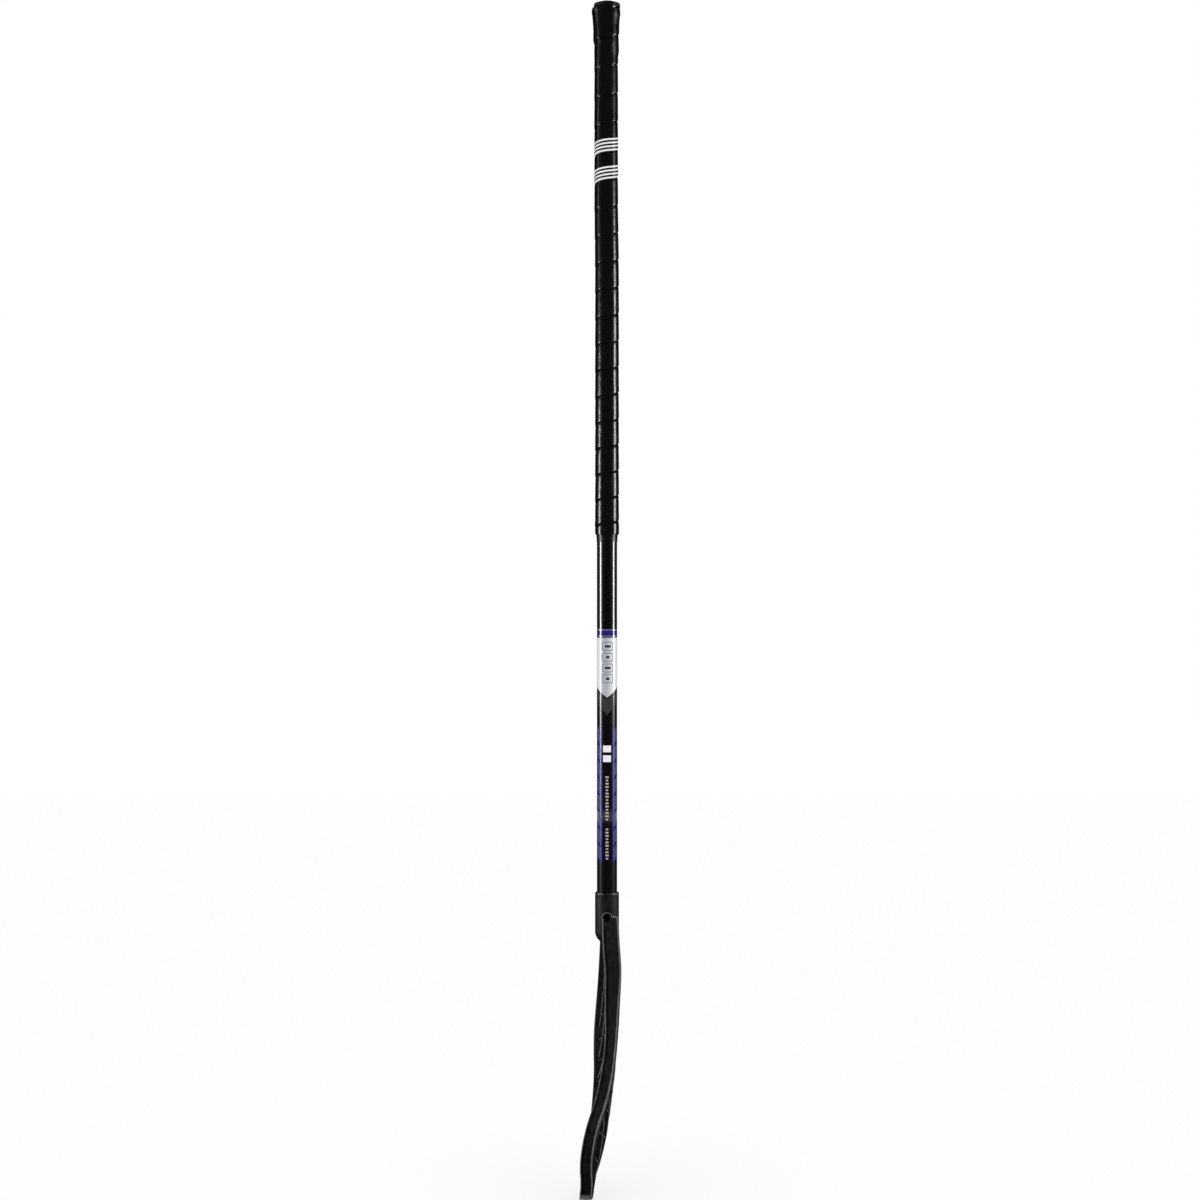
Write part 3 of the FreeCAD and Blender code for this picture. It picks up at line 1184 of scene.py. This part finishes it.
@dataclass
class ButtCap:
    """The cap on the butt: a rounded head with a paler raised crown, over a flared skirt and a spigot."""

    head_radius: float = 12.9
    head_rounding: float = 1.2
    head_steps: int = 9
    crown_radius: float = 6.5
    crown_height: float = 2.0
    crown_bevel: float = 0.3
    dish_radius: float = 4.2
    dish_depth: float = 0.5
    dish_middle: float = 0.4
    neck_radius: float = 11.9
    spigot_radius: float = 7.95
    spigot_length: float = 25.0
    segments: int = 96

    def build(self) -> None:
        """Build the cap in one revolved skin."""
        crown_top = level_of("butt_cap", True)
        head_top = crown_top - self.crown_height
        grip_top = level_of("grip_tape", True)
        spigot_end = grip_top - self.spigot_length
        bevel = self.crown_bevel
        section = [
            (self.dish_middle, crown_top - self.dish_depth),
            (self.dish_radius - self.dish_depth, crown_top - self.dish_depth),
            (self.dish_radius, crown_top),
            (self.crown_radius - bevel, crown_top),
            (self.crown_radius, crown_top - bevel),
            (self.crown_radius, head_top),
        ]
        crown_rows = len(section) - 1
        corner = (self.head_radius - self.head_rounding, head_top - self.head_rounding)
        section += corner_points(corner, self.head_rounding, 90.0, 0.0, self.head_steps)
        section += [
            (self.head_radius, grip_top),
            (self.neck_radius, grip_top),
            (self.spigot_radius, grip_top),
            (self.spigot_radius, spigot_end),
        ]
        points, faces = skin([ring(r, z, self.segments) for r, z in section], True, True)
        slots = [1 if number < crown_rows * self.segments else 0 for number in range(len(faces))]
        # The last face but one closes the middle of the dish.
        slots[-2] = 1
        # The head is soft black rubber, and the raised crown on it is pale grey.
        head = MouldedPlastic("rubber_moulded_matte", "070707", "101010", 0.45).material()
        crown = MouldedPlastic("polypropylene_pressed_grey", "a9acaa", "c3c6c3", 0.45).material()
        cap = make_piece("butt_cap_head", points, faces, [head, crown], slots)
        seat(cap, "cap_plastic", "butt_cap")


@dataclass
class BladeForm:
    """The blade's outline in side view and the hooked, leaning and bowed surface that it lies on."""

    sole_drop: float = 147.0
    sole_slope_degrees: float = 37.2
    reach: float = 204.0
    height_at_neck: float = 92.0
    height_at_toe: float = 88.6
    heel_radius: float = 88.0
    toe_lower_radius: float = 24.0
    toe_upper_radius: float = 38.0
    neck_radius: float = 52.0
    back_offset: float = 10.8
    front_offset: float = 13.3
    back_top_drop: float = 40.0
    front_top_drop: float = 15.0
    top_edge_lean: float = 5.6
    sole_lean: float = 6.3
    top_edge_hook: float = 29.2
    sole_hook: float = 17.4
    face_bow: float = 7.3
    top_edge_hook_power: float = 3.2
    sole_hook_power: float = 1.5
    hook_end_share: float = 1.1
    station_shares: tuple[float, ...] = (-0.45, -0.24, -0.03, 0.18, 0.38, 0.58, 0.80, 1.03)
    lean_shares: tuple[float, ...] = (0.0, 0.59, 1.0, 0.78, 0.78, 0.78, 0.78, 0.78)
    bow_shares: tuple[float, ...] = (0.0, 0.0, 0.19, 0.79, 0.83, 0.83, 1.0, 0.55)

    @property
    def socket_top(self) -> float:
        """Level of the socket's mouth."""
        return level_of("blade", True)

    def side_point(self, along: float, up: float) -> Vector:
        """Find a point in side view.

        Args:
            along: its place along the sole.
            up: its height over the sole.

        Returns:
            Its distance in front of the shaft's axis and its level.
        """
        slope = math.radians(self.sole_slope_degrees)
        forward = along * math.cos(slope) + up * math.sin(slope)
        rise = up * math.cos(slope) - along * math.sin(slope)
        return Vector((forward, self.socket_top - self.sole_drop + rise))

    def sole_place(self, point: Vector) -> Point:
        """Find where a point in side view stands over the sole.

        Args:
            point: the point.

        Returns:
            Its place along the sole and its height over it.
        """
        slope = math.radians(self.sole_slope_degrees)
        rise = point.y - self.socket_top + self.sole_drop
        along = point.x * math.cos(slope) - rise * math.sin(slope)
        return along, point.x * math.sin(slope) + rise * math.cos(slope)

    def across(self, point: Vector) -> float:
        """Follow the blade's middle surface, which leans, bows and hooks.

        Args:
            point: a point in side view.

        Returns:
            The surface's place across there.
        """
        along, up = self.sole_place(point)
        share, height = along / self.reach, up / self.height_at_neck
        ahead = min(max(0.0, share), self.hook_end_share)
        lean = through(self.station_shares, self.lean_shares, share)
        bow = self.face_bow * through(self.station_shares, self.bow_shares, share)
        top = self.top_edge_lean * lean - self.top_edge_hook * ahead**self.top_edge_hook_power
        low = -self.sole_lean * lean - self.sole_hook * ahead**self.sole_hook_power
        return low + (top - low) * height + 4 * bow * height * (1 - height)

    def place(self, point: Vector, offset: float) -> Vector:
        """The point in space at an offset across from the middle surface."""
        return Vector((self.across(point) + offset, -point.x, point.y))

    def corners(self) -> list[tuple[Vector, float]]:
        """Set out the corners of the outline.

        Returns:
            Each corner with its rounding, from the socket's back round to its front.
        """
        toe_low = self.side_point(self.reach, 0.0)
        toe_high = self.side_point(self.reach, self.height_at_toe)
        sole_start, top_start = self.side_point(0.0, 0.0), self.side_point(0.0, self.height_at_neck)

        def at_forward(start: Vector, end: Vector, forward: float) -> Vector:
            """Where the line through two points is a distance in front of the shaft's axis."""
            return start.lerp(end, (forward - start.x) / (end.x - start.x))

        return [
            (Vector((-self.back_offset, self.socket_top - self.back_top_drop)), 0.0),
            (at_forward(sole_start, toe_low, -self.back_offset), self.heel_radius),
            (toe_low, self.toe_lower_radius),
            (toe_high, self.toe_upper_radius),
            (at_forward(top_start, toe_high, self.front_offset), self.neck_radius),
            (Vector((self.front_offset, self.socket_top - self.front_top_drop)), 0.0),
        ]

    def path(self, spacing: float) -> list[Vector]:
        """Points along the outline, from the socket's back round to its front.

        Args:
            spacing: the greatest distance between them.

        Returns:
            The points in side view.
        """
        corners = self.corners()
        stops = [corners[0][0]]
        for number in range(1, len(corners) - 1):
            point, radius = corners[number]
            before = (corners[number - 1][0] - point).normalized()
            after = (corners[number + 1][0] - point).normalized()
            half = before.angle(after) / 2
            middle = point + (before + after).normalized() * (radius / math.sin(half))
            start = point + before * (radius / math.tan(half))
            turn = math.pi - 2 * half
            count = math.ceil(radius * turn / spacing)
            spoke = start - middle
            bend = math.copysign(turn, before.cross(after))
            for n in range(count + 1):
                angle = -bend * n / count
                turned = Vector(
                    (
                        spoke.x * math.cos(angle) - spoke.y * math.sin(angle),
                        spoke.x * math.sin(angle) + spoke.y * math.cos(angle),
                    )
                )
                stops.append(middle + turned)
        stops.append(corners[-1][0])
        path = [stops[0]]
        for start, end in zip(stops, stops[1:]):
            count = max(1, math.ceil((end - start).length / spacing))
            path += [start.lerp(end, n / count) for n in range(1, count + 1)]
        return path


@dataclass
class Blade:
    """The moulded blade: socket, rim with its groove, crossing ribs and the closed web by the neck."""

    form: BladeForm
    spacing: float = 1.0
    rim_depth: float = 4.6
    rim_width: float = 12.0
    rim_width_at_neck: float = 16.4
    rim_taper_shares: tuple[float, ...] = (0.56, 1.1, 1.0, 0.48, 0.0, 0.0, 0.0, 0.0)
    rim_bevel: float = 1.1
    rim_bevel_cut_share: float = 0.3
    rim_end_share: float = 1.5
    rim_end_steps: int = 4
    rim_end_cuts: int = 4
    rim_edge_columns: tuple[int, ...] = (0, 1, 7)
    rim_outer_columns: int = 7
    groove_inset: float = 2.0
    groove_width: float = 1.7
    groove_depth: float = 1.4
    groove_ends: tuple[float, float] = (5.0, 16.0)
    groove_toe: tuple[float, float] = (6.0, 14.0)
    pale_toe_levels: tuple[float, float] = (1.0, 9.5)
    edge_band_width: float = 1.2
    edge_band_inset: float = 0.7
    inner_bevel: float = 0.5
    shoulder_drop: float = 21.9
    shoulder_rounding: float = 2.2
    rib_width: float = 8.0
    rib_thickness: float = 2.6
    rib_bevel: float = 0.55
    rib_spacing: float = 26.0
    rib_lean_degrees: float = 31.0
    rib_top_drop: float = 37.0
    least_rib: float = 6.0
    rib_step: float = 4.0
    web_width: float = 2.6
    web_length: float = 52.0
    socket_radius: float = 11.8
    socket_bore: float = 10.0
    socket_length: float = 50.5
    socket_seat_depth: float = 42.8
    socket_lip: float = 1.2
    socket_lip_steps: int = 7
    socket_dome_end_degrees: float = -88.0
    socket_dome_steps: int = 16
    # Rows and angles of the lip that carry a painted highlight, on both front sides
    lip_highlight_rows: int = 4
    lip_highlight_degrees: tuple[float, float] = (22.0, 62.0)
    bead_height: float = 3.2
    bead_groove: float = 0.3
    screw_drop: float = 23.6
    boss_radius: float = 5.2
    boss_bevel: float = 0.7
    boss_bevel_steps: int = 5
    boss_root: float = 9.95
    boss_sharp_degrees: float = 40.0
    recess_radius: float = 3.8
    recess_depth: float = 2.6
    recess_bevel: float = 0.25
    recess_cut: float = 10.4
    sharp_degrees: float = 30.0
    segments: int = 96

    def finishes(self, lowest: float) -> list[Material]:
        """Make the blade's three finishes: the body's, the edges' (pale as wear and as painted highlight)
        and the toe's pale patch.

        Args:
            lowest: level of the toe's lowest point.

        Returns:
            The materials.
        """
        start, end = self.pale_toe_levels
        fade = (lowest + start, lowest + end)
        # Polyethylene as it leaves the mould, with edges pale as wear and as a painted highlight, and a toe
        # that is paler towards its lowest point
        tones = (
            MouldedPlastic("polyethylene_moulded_charcoal", "0b0b0c", "1b1b1c", 0.5),
            MouldedPlastic("polyethylene_moulded_worn_edge", "4e4e4f", "6e6e6f", 0.36),
            MouldedPlastic("polyethylene_scuffed_toe", "101010", "cfcfcd", 0.6, mottle_size=2.0, fade=fade),
        )
        return [tone.material() for tone in tones]

    def build(self) -> None:
        """Build the blade's pieces."""
        path = self.form.path(self.spacing)
        lowest = min(point.y for point in path)
        finishes = self.finishes(lowest)
        rim = self.build_rim(self.rim_path(path), lowest, finishes)
        socket = self.build_socket(finishes)
        cutter = self.recess_form()
        carve(rim, cutter)
        carve(socket, cutter)
        bpy.data.objects.remove(cutter)
        others = (self.build_boss(finishes), self.build_ribs(path, finishes), self.build_web(finishes))
        for piece in (rim, socket, *others):
            seat(piece, "blade_plastic", "blade")

    def rim_section(self, half: float, groove_depth: float) -> list[Point]:
        """The rim's section, as depth from its outside and place across.

        Args:
            half: half of the rim's width.
            groove_depth: depth of the groove beside its left edge.

        Returns:
            A closed loop; its first and last corners are the rounded outer edges.
        """
        bevel, groove = self.rim_bevel, -half + self.groove_inset
        cut = bevel * self.rim_bevel_cut_share
        depth, lap = self.rim_depth, self.inner_bevel
        wall = self.groove_width / 4
        return [
            (bevel, -half),
            (cut, -half + cut),
            (0.0, -half + self.edge_band_width),
            (0.0, groove),
            (groove_depth, groove + wall),
            (groove_depth, groove + self.groove_width - wall),
            (0.0, groove + self.groove_width),
            (0.0, half - self.edge_band_inset - self.edge_band_width),
            (cut, half - self.edge_band_inset),
            (bevel, half),
            (depth - lap, half),
            (depth, half - lap),
            (depth, -half + lap),
            (depth - lap, -half),
        ]

    def rim_path(self, path: Sequence[Vector]) -> list[Vector]:
        """End the outline at the shoulder beside the screw boss, with closer points near that end.

        Args:
            path: the outline's points.

        Returns:
            The points that the rim follows.
        """
        shoulder = self.form.socket_top - self.shoulder_drop
        kept = list(path)
        while kept[-2].y > shoulder:
            kept.pop()
        kept[-1] = kept[-2].lerp(kept[-1], (shoulder - kept[-2].y) / (kept[-1].y - kept[-2].y))
        cuts, first = self.rim_end_cuts, len(kept) - 1 - self.rim_end_steps
        steps = zip(kept[first:], kept[first + 1 :])
        close = [start.lerp(end, n / cuts) for start, end in steps for n in range(cuts)]
        return kept[:first] + close + kept[-1:]

    def build_rim(self, path: Sequence[Vector], lowest: float, finishes: list[Material]) -> Piece:
        """Sweep the rim round the outline.

        Args:
            path: the outline's points.
            lowest: level of the toe's lowest point.
            finishes: the body's, the pale edges' (wear and painted highlight) and the pale toe's finish.

        Returns:
            The rim.
        """
        rows = []
        to_end = 0.0
        distances = []
        for start, end in reversed(list(zip(path, path[1:]))):
            to_end += (end - start).length
            distances.append(to_end)
        distances = distances[::-1] + [0.0]
        for number, point in enumerate(path):
            before, after = path[max(0, number - 1)], path[min(len(path) - 1, number + 1)]
            heading = (after - before).normalized()
            inward = Vector((-heading.y, heading.x))
            share = self.form.sole_place(point)[0] / self.form.reach
            taper = through(self.form.station_shares, self.rim_taper_shares, share)
            half = (self.rim_width + (self.rim_width_at_neck - self.rim_width) * taper) / 2
            short = max(0.0, self.shoulder_rounding - distances[number])
            half -= self.shoulder_rounding - math.sqrt(self.shoulder_rounding**2 - short**2)
            brow = max(0.0, self.rim_bevel - distances[number])
            least = self.rim_bevel - math.sqrt(self.rim_bevel**2 - brow**2)
            groove = self.groove_depth * smooth_step(distances[number], *self.groove_ends)
            groove *= smooth_step(point.y - lowest, *self.groove_toe)
            section = self.rim_section(half, groove)
            rows.append([self.form.place(point + inward * max(d, least), a) for d, a in section])
        points, faces = skin(rows, True, True)
        count = len(rows[0])
        end_length = self.rim_end_share * self.rim_bevel
        end_row = next(n for n, distance in enumerate(distances) if distance < end_length)
        pale_start, pale_end = self.pale_toe_levels
        slots = []
        for number in range(len(faces)):
            row, column = divmod(number, count)
            # The outer edges and the rim's end take the pale edge finish: wear, and a painted highlight
            # where the bevels catch the softboxes.
            worn_and_highlit = column in self.rim_edge_columns or row >= end_row
            height = path[min(row, len(path) - 1)].y - lowest
            # Outer faces low on the toe take a finish that is paler towards the lowest point.
            pale_toe = column < self.rim_outer_columns and pale_start < height < pale_end
            slots.append(1 if worn_and_highlit else 2 if pale_toe else 0)
        return make_piece("blade_rim", points, faces, finishes, slots, self.sharp_degrees)

    def rib_runs(
        self, path: Sequence[Vector], along: float, lean: RibLean
    ) -> list[tuple[Vector, Vector]]:
        """Find where a rib's line runs inside the outline.

        Args:
            path: the outline's points.
            along: where the line meets the sole's line.
            lean: which way it leans.

        Returns:
            Start and end of each run in side view, halfway in the rim's depth or beside the socket.
        """
        tilt = lean.value * math.tan(math.radians(self.rib_lean_degrees))
        foot = self.form.side_point(along, 0.0)
        heading = (self.form.side_point(along + tilt, 1.0) - foot).normalized()
        neck = self.form.socket_top - self.rib_top_drop
        crossings = []
        for start, end in zip(path, [*path[1:], path[0]]):
            edge = end - start
            spread = heading.cross(edge)
            if abs(spread) < PARALLEL:
                continue
            share = (start - foot).cross(heading) / spread
            if 0 <= share < 1:
                crossings.append((start - foot).cross(edge) / spread)
        crossings.sort()
        runs = []
        for low, high in zip(crossings[::2], crossings[1::2]):
            low, high = low + self.rim_depth / 2, high - self.rim_depth / 2
            high = min(high, (neck - foot.y) / heading.y)
            if high - low > self.least_rib:
                runs.append((foot + heading * low, foot + heading * high))
        return runs

    def build_ribs(self, path: Sequence[Vector], finishes: list[Material]) -> Piece:
        """Build both sets of crossing ribs.

        Args:
            path: the outline's points.
            finishes: the body's, the pale edges' (wear and painted highlight) and the pale toe's finish.

        Returns:
            The ribs, as one piece.
        """
        half_t, half_w, bevel = self.rib_thickness / 2, self.rib_width / 2, self.rib_bevel
        section = [
            (-half_t + bevel, -half_w),
            (half_t - bevel, -half_w),
            (half_t, -half_w + bevel),
            (half_t, half_w - bevel),
            (half_t - bevel, half_w),
            (-half_t + bevel, half_w),
            (-half_t, half_w - bevel),
            (-half_t, -half_w + bevel),
        ]
        meshes = []
        slots: list[int] = []
        reach = math.ceil(self.form.reach / self.rib_spacing)
        for number in range(-reach, 2 * reach):
            for lean in RibLean:
                for start, end in self.rib_runs(path, self.rib_spacing * number, lean):
                    heading = (end - start).normalized()
                    aside = Vector((-heading.y, heading.x))
                    count = max(2, math.ceil((end - start).length / self.rib_step))
                    rows = []
                    for n in range(count + 1):
                        middle = start.lerp(end, n / count)
                        rows.append([self.form.place(middle + aside * u, a) for u, a in section])
                    meshes.append(skin(rows, True, True))
                    # Every second side is a bevel in the pale edge finish, worn and with a painted
                    # highlight; the two ends are plain.
                    slots += [side % 2 for side in range(count * len(section))] + [0, 0]
        points, faces = join(meshes)
        return make_piece("blade_ribs", points, faces, finishes, slots, self.sharp_degrees)

    def build_web(self, finishes: list[Material]) -> Piece:
        """Build the closed web under the top edge, between two ribs.

        Args:
            finishes: the body's, the pale edges' (wear and painted highlight) and the pale toe's finish.

        Returns:
            The web.
        """
        form = self.form
        tilt = math.tan(math.radians(self.rib_lean_degrees))
        low = form.height_at_neck / 2
        fall = (form.height_at_neck - form.height_at_toe) / form.reach
        columns = math.ceil(self.web_length / self.rib_step)
        levels = math.ceil(low / self.rib_step)
        rings = []
        for column in range(columns + 1):
            foot = self.web_length * column / columns
            high = form.height_at_neck - fall * foot - self.rim_depth / 2
            ups = [low + (high - low) * n / levels for n in range(levels + 1)]
            middle = [form.side_point(foot - (form.height_at_neck - up) * tilt, up) for up in ups]
            near = [form.place(point, -self.web_width / 2) for point in middle]
            far = [form.place(point, self.web_width / 2) for point in middle]
            rings.append(near + far[::-1])
        points, faces = skin(rings, True, True)
        return make_piece("blade_web", points, faces, finishes, sharp_degrees=self.sharp_degrees)

    def build_socket(self, finishes: list[Material]) -> Piece:
        """Build the sleeve with its beaded lip and its blind, domed end.

        Args:
            finishes: the body's, the pale edges' (wear and painted highlight) and the pale toe's finish.

        Returns:
            The socket.
        """
        top = self.form.socket_top
        floor, low = top - self.socket_seat_depth, top - self.socket_length
        radius, lip = self.socket_radius, self.socket_lip
        bead, groove = top - self.bead_height, self.bead_groove
        bore = self.socket_bore
        section = [(bore, floor), (bore, top - lip / 2), (bore + lip / 2, top)]
        section += corner_points((radius - lip, top - lip), lip, 90.0, 0.0, self.socket_lip_steps)
        last = len(section) - 1
        lip_rows = range(last - self.lip_highlight_rows, last)
        section += [
            (radius, bead),
            (radius - groove, bead - groove),
            (radius - groove, bead - 2 * groove),
            (radius, bead - 3 * groove),
        ]
        dome_end, dome_steps = self.socket_dome_end_degrees, self.socket_dome_steps
        section += corner_points((0.0, low + radius), radius, 0.0, dome_end, dome_steps)
        points, faces = skin([ring(r, z, self.segments) for r, z in section], True, True)
        least, most = self.lip_highlight_degrees
        slots = []
        for number in range(len(faces)):
            row, column = divmod(number, self.segments)
            # Angle to the front, which is a quarter turn before the ring's start
            to_front = abs((360.0 * column / self.segments + 90.0 + 180.0) % 360.0 - 180.0)
            # The lip's faces at these angles on both front sides take the pale edge finish as a painted
            # highlight.
            slots.append(1 if row in lip_rows and least < to_front < most else 0)
        return make_piece("blade_socket", points, faces, finishes, slots, self.sharp_degrees)

    def screw_rings(self, section: Sequence[Point]) -> Rows:
        """Set out rings about the screw's axis.

        Args:
            section: radius of each ring and its distance in front of the shaft's axis.

        Returns:
            The rings' points.
        """
        level = self.form.socket_top - self.screw_drop
        circles = [(ring(radius, 0.0, self.segments), forward) for radius, forward in section]
        return [[Vector((p.x, -forward, level + p.y)) for p in circle] for circle, forward in circles]

    def build_boss(self, finishes: list[Material]) -> Piece:
        """Build the round boss about the screw's recess.

        Args:
            finishes: the body's, the pale edges' (wear and painted highlight) and the pale toe's finish.

        Returns:
            The boss.
        """
        face, floor = self.form.front_offset, self.form.front_offset - self.recess_depth
        radius, bevel = self.boss_radius, self.boss_bevel
        section = [(radius, self.boss_root)]
        section += corner_points((radius - bevel, face - bevel), bevel, 0.0, 90.0, self.boss_bevel_steps)
        edge_rows = range(1, len(section) - 1)
        room, brink = self.recess_radius, self.recess_bevel
        section += [(room + brink, face), (room, face - brink), (room, floor), (room / 2, floor)]
        points, faces = skin(self.screw_rings(section), True, False)
        # The boss's rounded edge takes the pale edge finish: wear and a painted highlight.
        slots = [1 if number // self.segments in edge_rows else 0 for number in range(len(faces))]
        return make_piece("blade_boss", points, faces, finishes, slots, self.boss_sharp_degrees)

    def recess_form(self) -> Piece:
        """Fill the room inside the boss with a form to cut with.

        Returns:
            The form.
        """
        floor = self.form.front_offset - self.recess_depth
        radius = (self.recess_radius + self.boss_radius) / 2
        rings = self.screw_rings([(radius, floor), (radius, floor + self.recess_cut)])
        points, faces = skin(rings, True, True)
        return make_piece("recess_form", points, faces, [])


@dataclass
class BladeScrew:
    """The screw that holds the blade on the shaft, as the frame gives it."""

    def dress(self) -> None:
        """Give the screw its finish."""
        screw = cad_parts["blade_screw"]
        screw.data.materials.clear()
        screw.data.materials.append(BlackenedSteel().material())
        log.info("blade_screw: dressed")


@dataclass(frozen=True)
class Softbox:
    """A tall strip light beside the stick, fading towards its ends.

    It shows only as a highlight, so that colours stay as written.
    """

    name: str
    degrees: float
    levels: tuple[float, float]
    fades: tuple[float, float]
    width: float = 0.25
    distance: float = 1.5
    radiance: float = 24.0
    steps: int = 8

    def parts(self) -> list[tuple[float, float, float]]:
        """Divide the light into parts, weaker towards both ends.

        Returns:
            Lower end, upper end and share of the full strength of each part.
        """
        (low, high), (below, above) = self.levels, self.fades
        parts = [(low, high, 1.0)]
        for n in range(self.steps):
            start, end = n / self.steps, (n + 1) / self.steps
            share = (1 - (start + end) / 2) ** 2
            parts.append((low - below * end, low - below * start, share))
            parts.append((high + above * start, high + above * end, share))
        return parts

    def build(self) -> None:
        """Stand the light's parts one over the other."""
        for number, (low, high, share) in enumerate(self.parts()):
            data = bpy.data.lights.new(f"{self.name}_{number}", "AREA")
            data.shape = "RECTANGLE"
            data.size = self.width
            data.size_y = high - low
            data.energy = self.radiance * share * math.pi * self.width * (high - low)
            light = bpy.data.objects.new(data.name, data)
            light.location = round_place(self.degrees, self.distance, (low + high) / 2)
            heading = Vector((-light.location.x, -light.location.y, 0.0))
            light.rotation_euler = heading.to_track_quat("-Z", "Y").to_euler()
            light.visible_diffuse = False
            light.visible_camera = False
            bpy.context.scene.collection.objects.link(light)


@dataclass
class Studio:
    """A white studio: a pale floor, tall softboxes at both sides, dark flags between them and the camera."""

    camera_place: tuple[float, float, float] = (-0.0069, -2.22, -0.324)
    camera_aim: tuple[float, float, float] = (-0.0069, 0.0, -0.324)
    lens_mm: float = 67.58
    sensor_mm: float = 36.0
    floor_size: float = 8.0
    floor_shade: float = 0.3
    softboxes: tuple[Softbox, ...] = (
        Softbox("softbox_left", -77.5, (-0.40, -0.02), (0.38, 0.08)),
        Softbox("softbox_right", 82.5, (-0.38, 0.22), (0.18, 0.25)),
    )
    flag_distance: float = 3.4
    flag_levels: tuple[float, float] = (-0.85, 3.0)
    front_flag_half_degrees: float = 79.0
    back_flag_half_degrees: float = 86.0
    floor_flag_lift: float = 0.002
    flag_steps: int = 12

    def build(self) -> None:
        """Build the studio round the stick."""
        self.build_world()
        self.build_floor()
        self.build_camera()
        for softbox in self.softboxes:
            softbox.build()
        felt, steps = self.black_felt(), self.flag_steps
        for name, degrees, half in (
            ("flag_front", 0.0, self.front_flag_half_degrees),
            ("flag_back", 180.0, self.back_flag_half_degrees),
        ):
            angles = [degrees + half * n / steps for n in range(-steps, steps + 1)]
            self.hang_flag(name, felt, [self.flag_column(angle) for angle in angles])
        turns = [180.0 / steps * n for n in range(2 * steps + 1)]
        for name, level in (
            ("flag_floor", cad_box[0].z + self.floor_flag_lift),
            ("flag_ceiling", self.flag_levels[1]),
        ):
            edge = [round_place(turn, self.flag_distance, level) / MM for turn in turns]
            self.hang_flag(name, felt, [[Vector((0.0, 0.0, level / MM)), place] for place in edge])

    def seen_directly(self, tree: Tree) -> Socket:
        """Tell rays of the camera, and of mirrors and glass, from those that only carry light.

        Args:
            tree: the floor's tree.

        Returns:
            A socket that is 1 for what is seen and 0 for what lights.
        """
        rays = add_node(tree, "ShaderNodeLightPath", {}, {}).outputs
        seen = calculate(tree, "MAXIMUM", rays["Is Camera Ray"], rays["Is Glossy Ray"])
        return calculate(tree, "MAXIMUM", seen, rays["Is Transmission Ray"])

    def build_world(self) -> None:
        """Make the world plain white, which is the background and a soft light from all round."""
        world = bpy.data.worlds.new("white_studio")
        world.use_nodes = True
        tree = world.node_tree
        tree.nodes.clear()
        back = add_node(tree, "ShaderNodeBackground", {}, {"Color": linear("ffffff"), "Strength": 1.0})
        add_node(tree, "ShaderNodeOutputWorld", {}, {"Surface": back.outputs[0]})
        bpy.context.scene.world = world

    def build_floor(self) -> None:
        """Lay the floor just under the toe; it is white where it is seen and keeps a soft shadow."""
        material, tree = blank_material("matte_white_studio_floor")
        paint = add_node(tree, "ShaderNodeBsdfDiffuse", {}, {"Color": linear("fafafa")})
        glow = add_node(tree, "ShaderNodeEmission", {}, {"Color": linear("ffffff"), "Strength": 1.0})
        share = calculate(tree, "MULTIPLY", self.seen_directly(tree), 1 - self.floor_shade)
        mixed = add_node(
            tree, "ShaderNodeMixShader", {}, {0: share, 1: paint.outputs[0], 2: glow.outputs[0]}
        )
        add_node(tree, "ShaderNodeOutputMaterial", {}, {"Surface": mixed.outputs[0]})
        half, level = self.floor_size / 2 / MM, cad_box[0].z / MM
        corners = [Vector((x * half, y * half, level)) for x, y in ((-1, -1), (1, -1), (1, 1), (-1, 1))]
        make_piece("studio_floor", corners, [(0, 1, 2, 3)], [material])

    def build_camera(self) -> None:
        """Set the camera at the photograph's place."""
        data = bpy.data.cameras.new("camera")
        data.sensor_width = self.sensor_mm
        data.lens = self.lens_mm
        camera = bpy.data.objects.new("camera", data)
        camera.location = self.camera_place
        heading = Vector(self.camera_aim) - Vector(self.camera_place)
        camera.rotation_euler = heading.to_track_quat("-Z", "Y").to_euler()
        bpy.context.scene.collection.objects.link(camera)
        bpy.context.scene.camera = camera

    def black_felt(self) -> Material:
        """Make the felt of the flags.

        Returns:
            The material.
        """
        material, tree = blank_material("black_felt_matte")
        cloth = add_node(tree, "ShaderNodeBsdfDiffuse", {}, {"Color": linear("020202")})
        add_node(tree, "ShaderNodeOutputMaterial", {}, {"Surface": cloth.outputs[0]})
        return material

    def flag_column(self, degrees: float) -> list[Vector]:
        """The lower and the upper point of a standing flag at an angle, in millimetres."""
        return [round_place(degrees, self.flag_distance, level) / MM for level in self.flag_levels]

    def hang_flag(self, name: str, felt: Material, rows: Rows) -> None:
        """Hang a dark flag that only glossy surfaces see.

        Args:
            name: the flag's name.
            felt: its material.
            rows: its points, two by two.
        """
        points, faces = skin(rows, False, False)
        flag = make_piece(name, points, faces, [felt])
        flag.visible_camera = False
        flag.visible_diffuse = False
        flag.visible_shadow = False
        flag.visible_transmission = False


def main() -> None:
    """Build the studio and the stick, from the butt to the blade."""
    logging.basicConfig(level=logging.INFO, format="%(message)s")
    bpy.context.scene.view_settings.view_transform = "Standard"
    Studio().build()
    ButtCap().build()
    GripTape().build()
    FinishingTape().build()
    Shaft().build()
    Blade(BladeForm()).build()
    BladeScrew().dress()


if __name__ == "__main__":
    main()
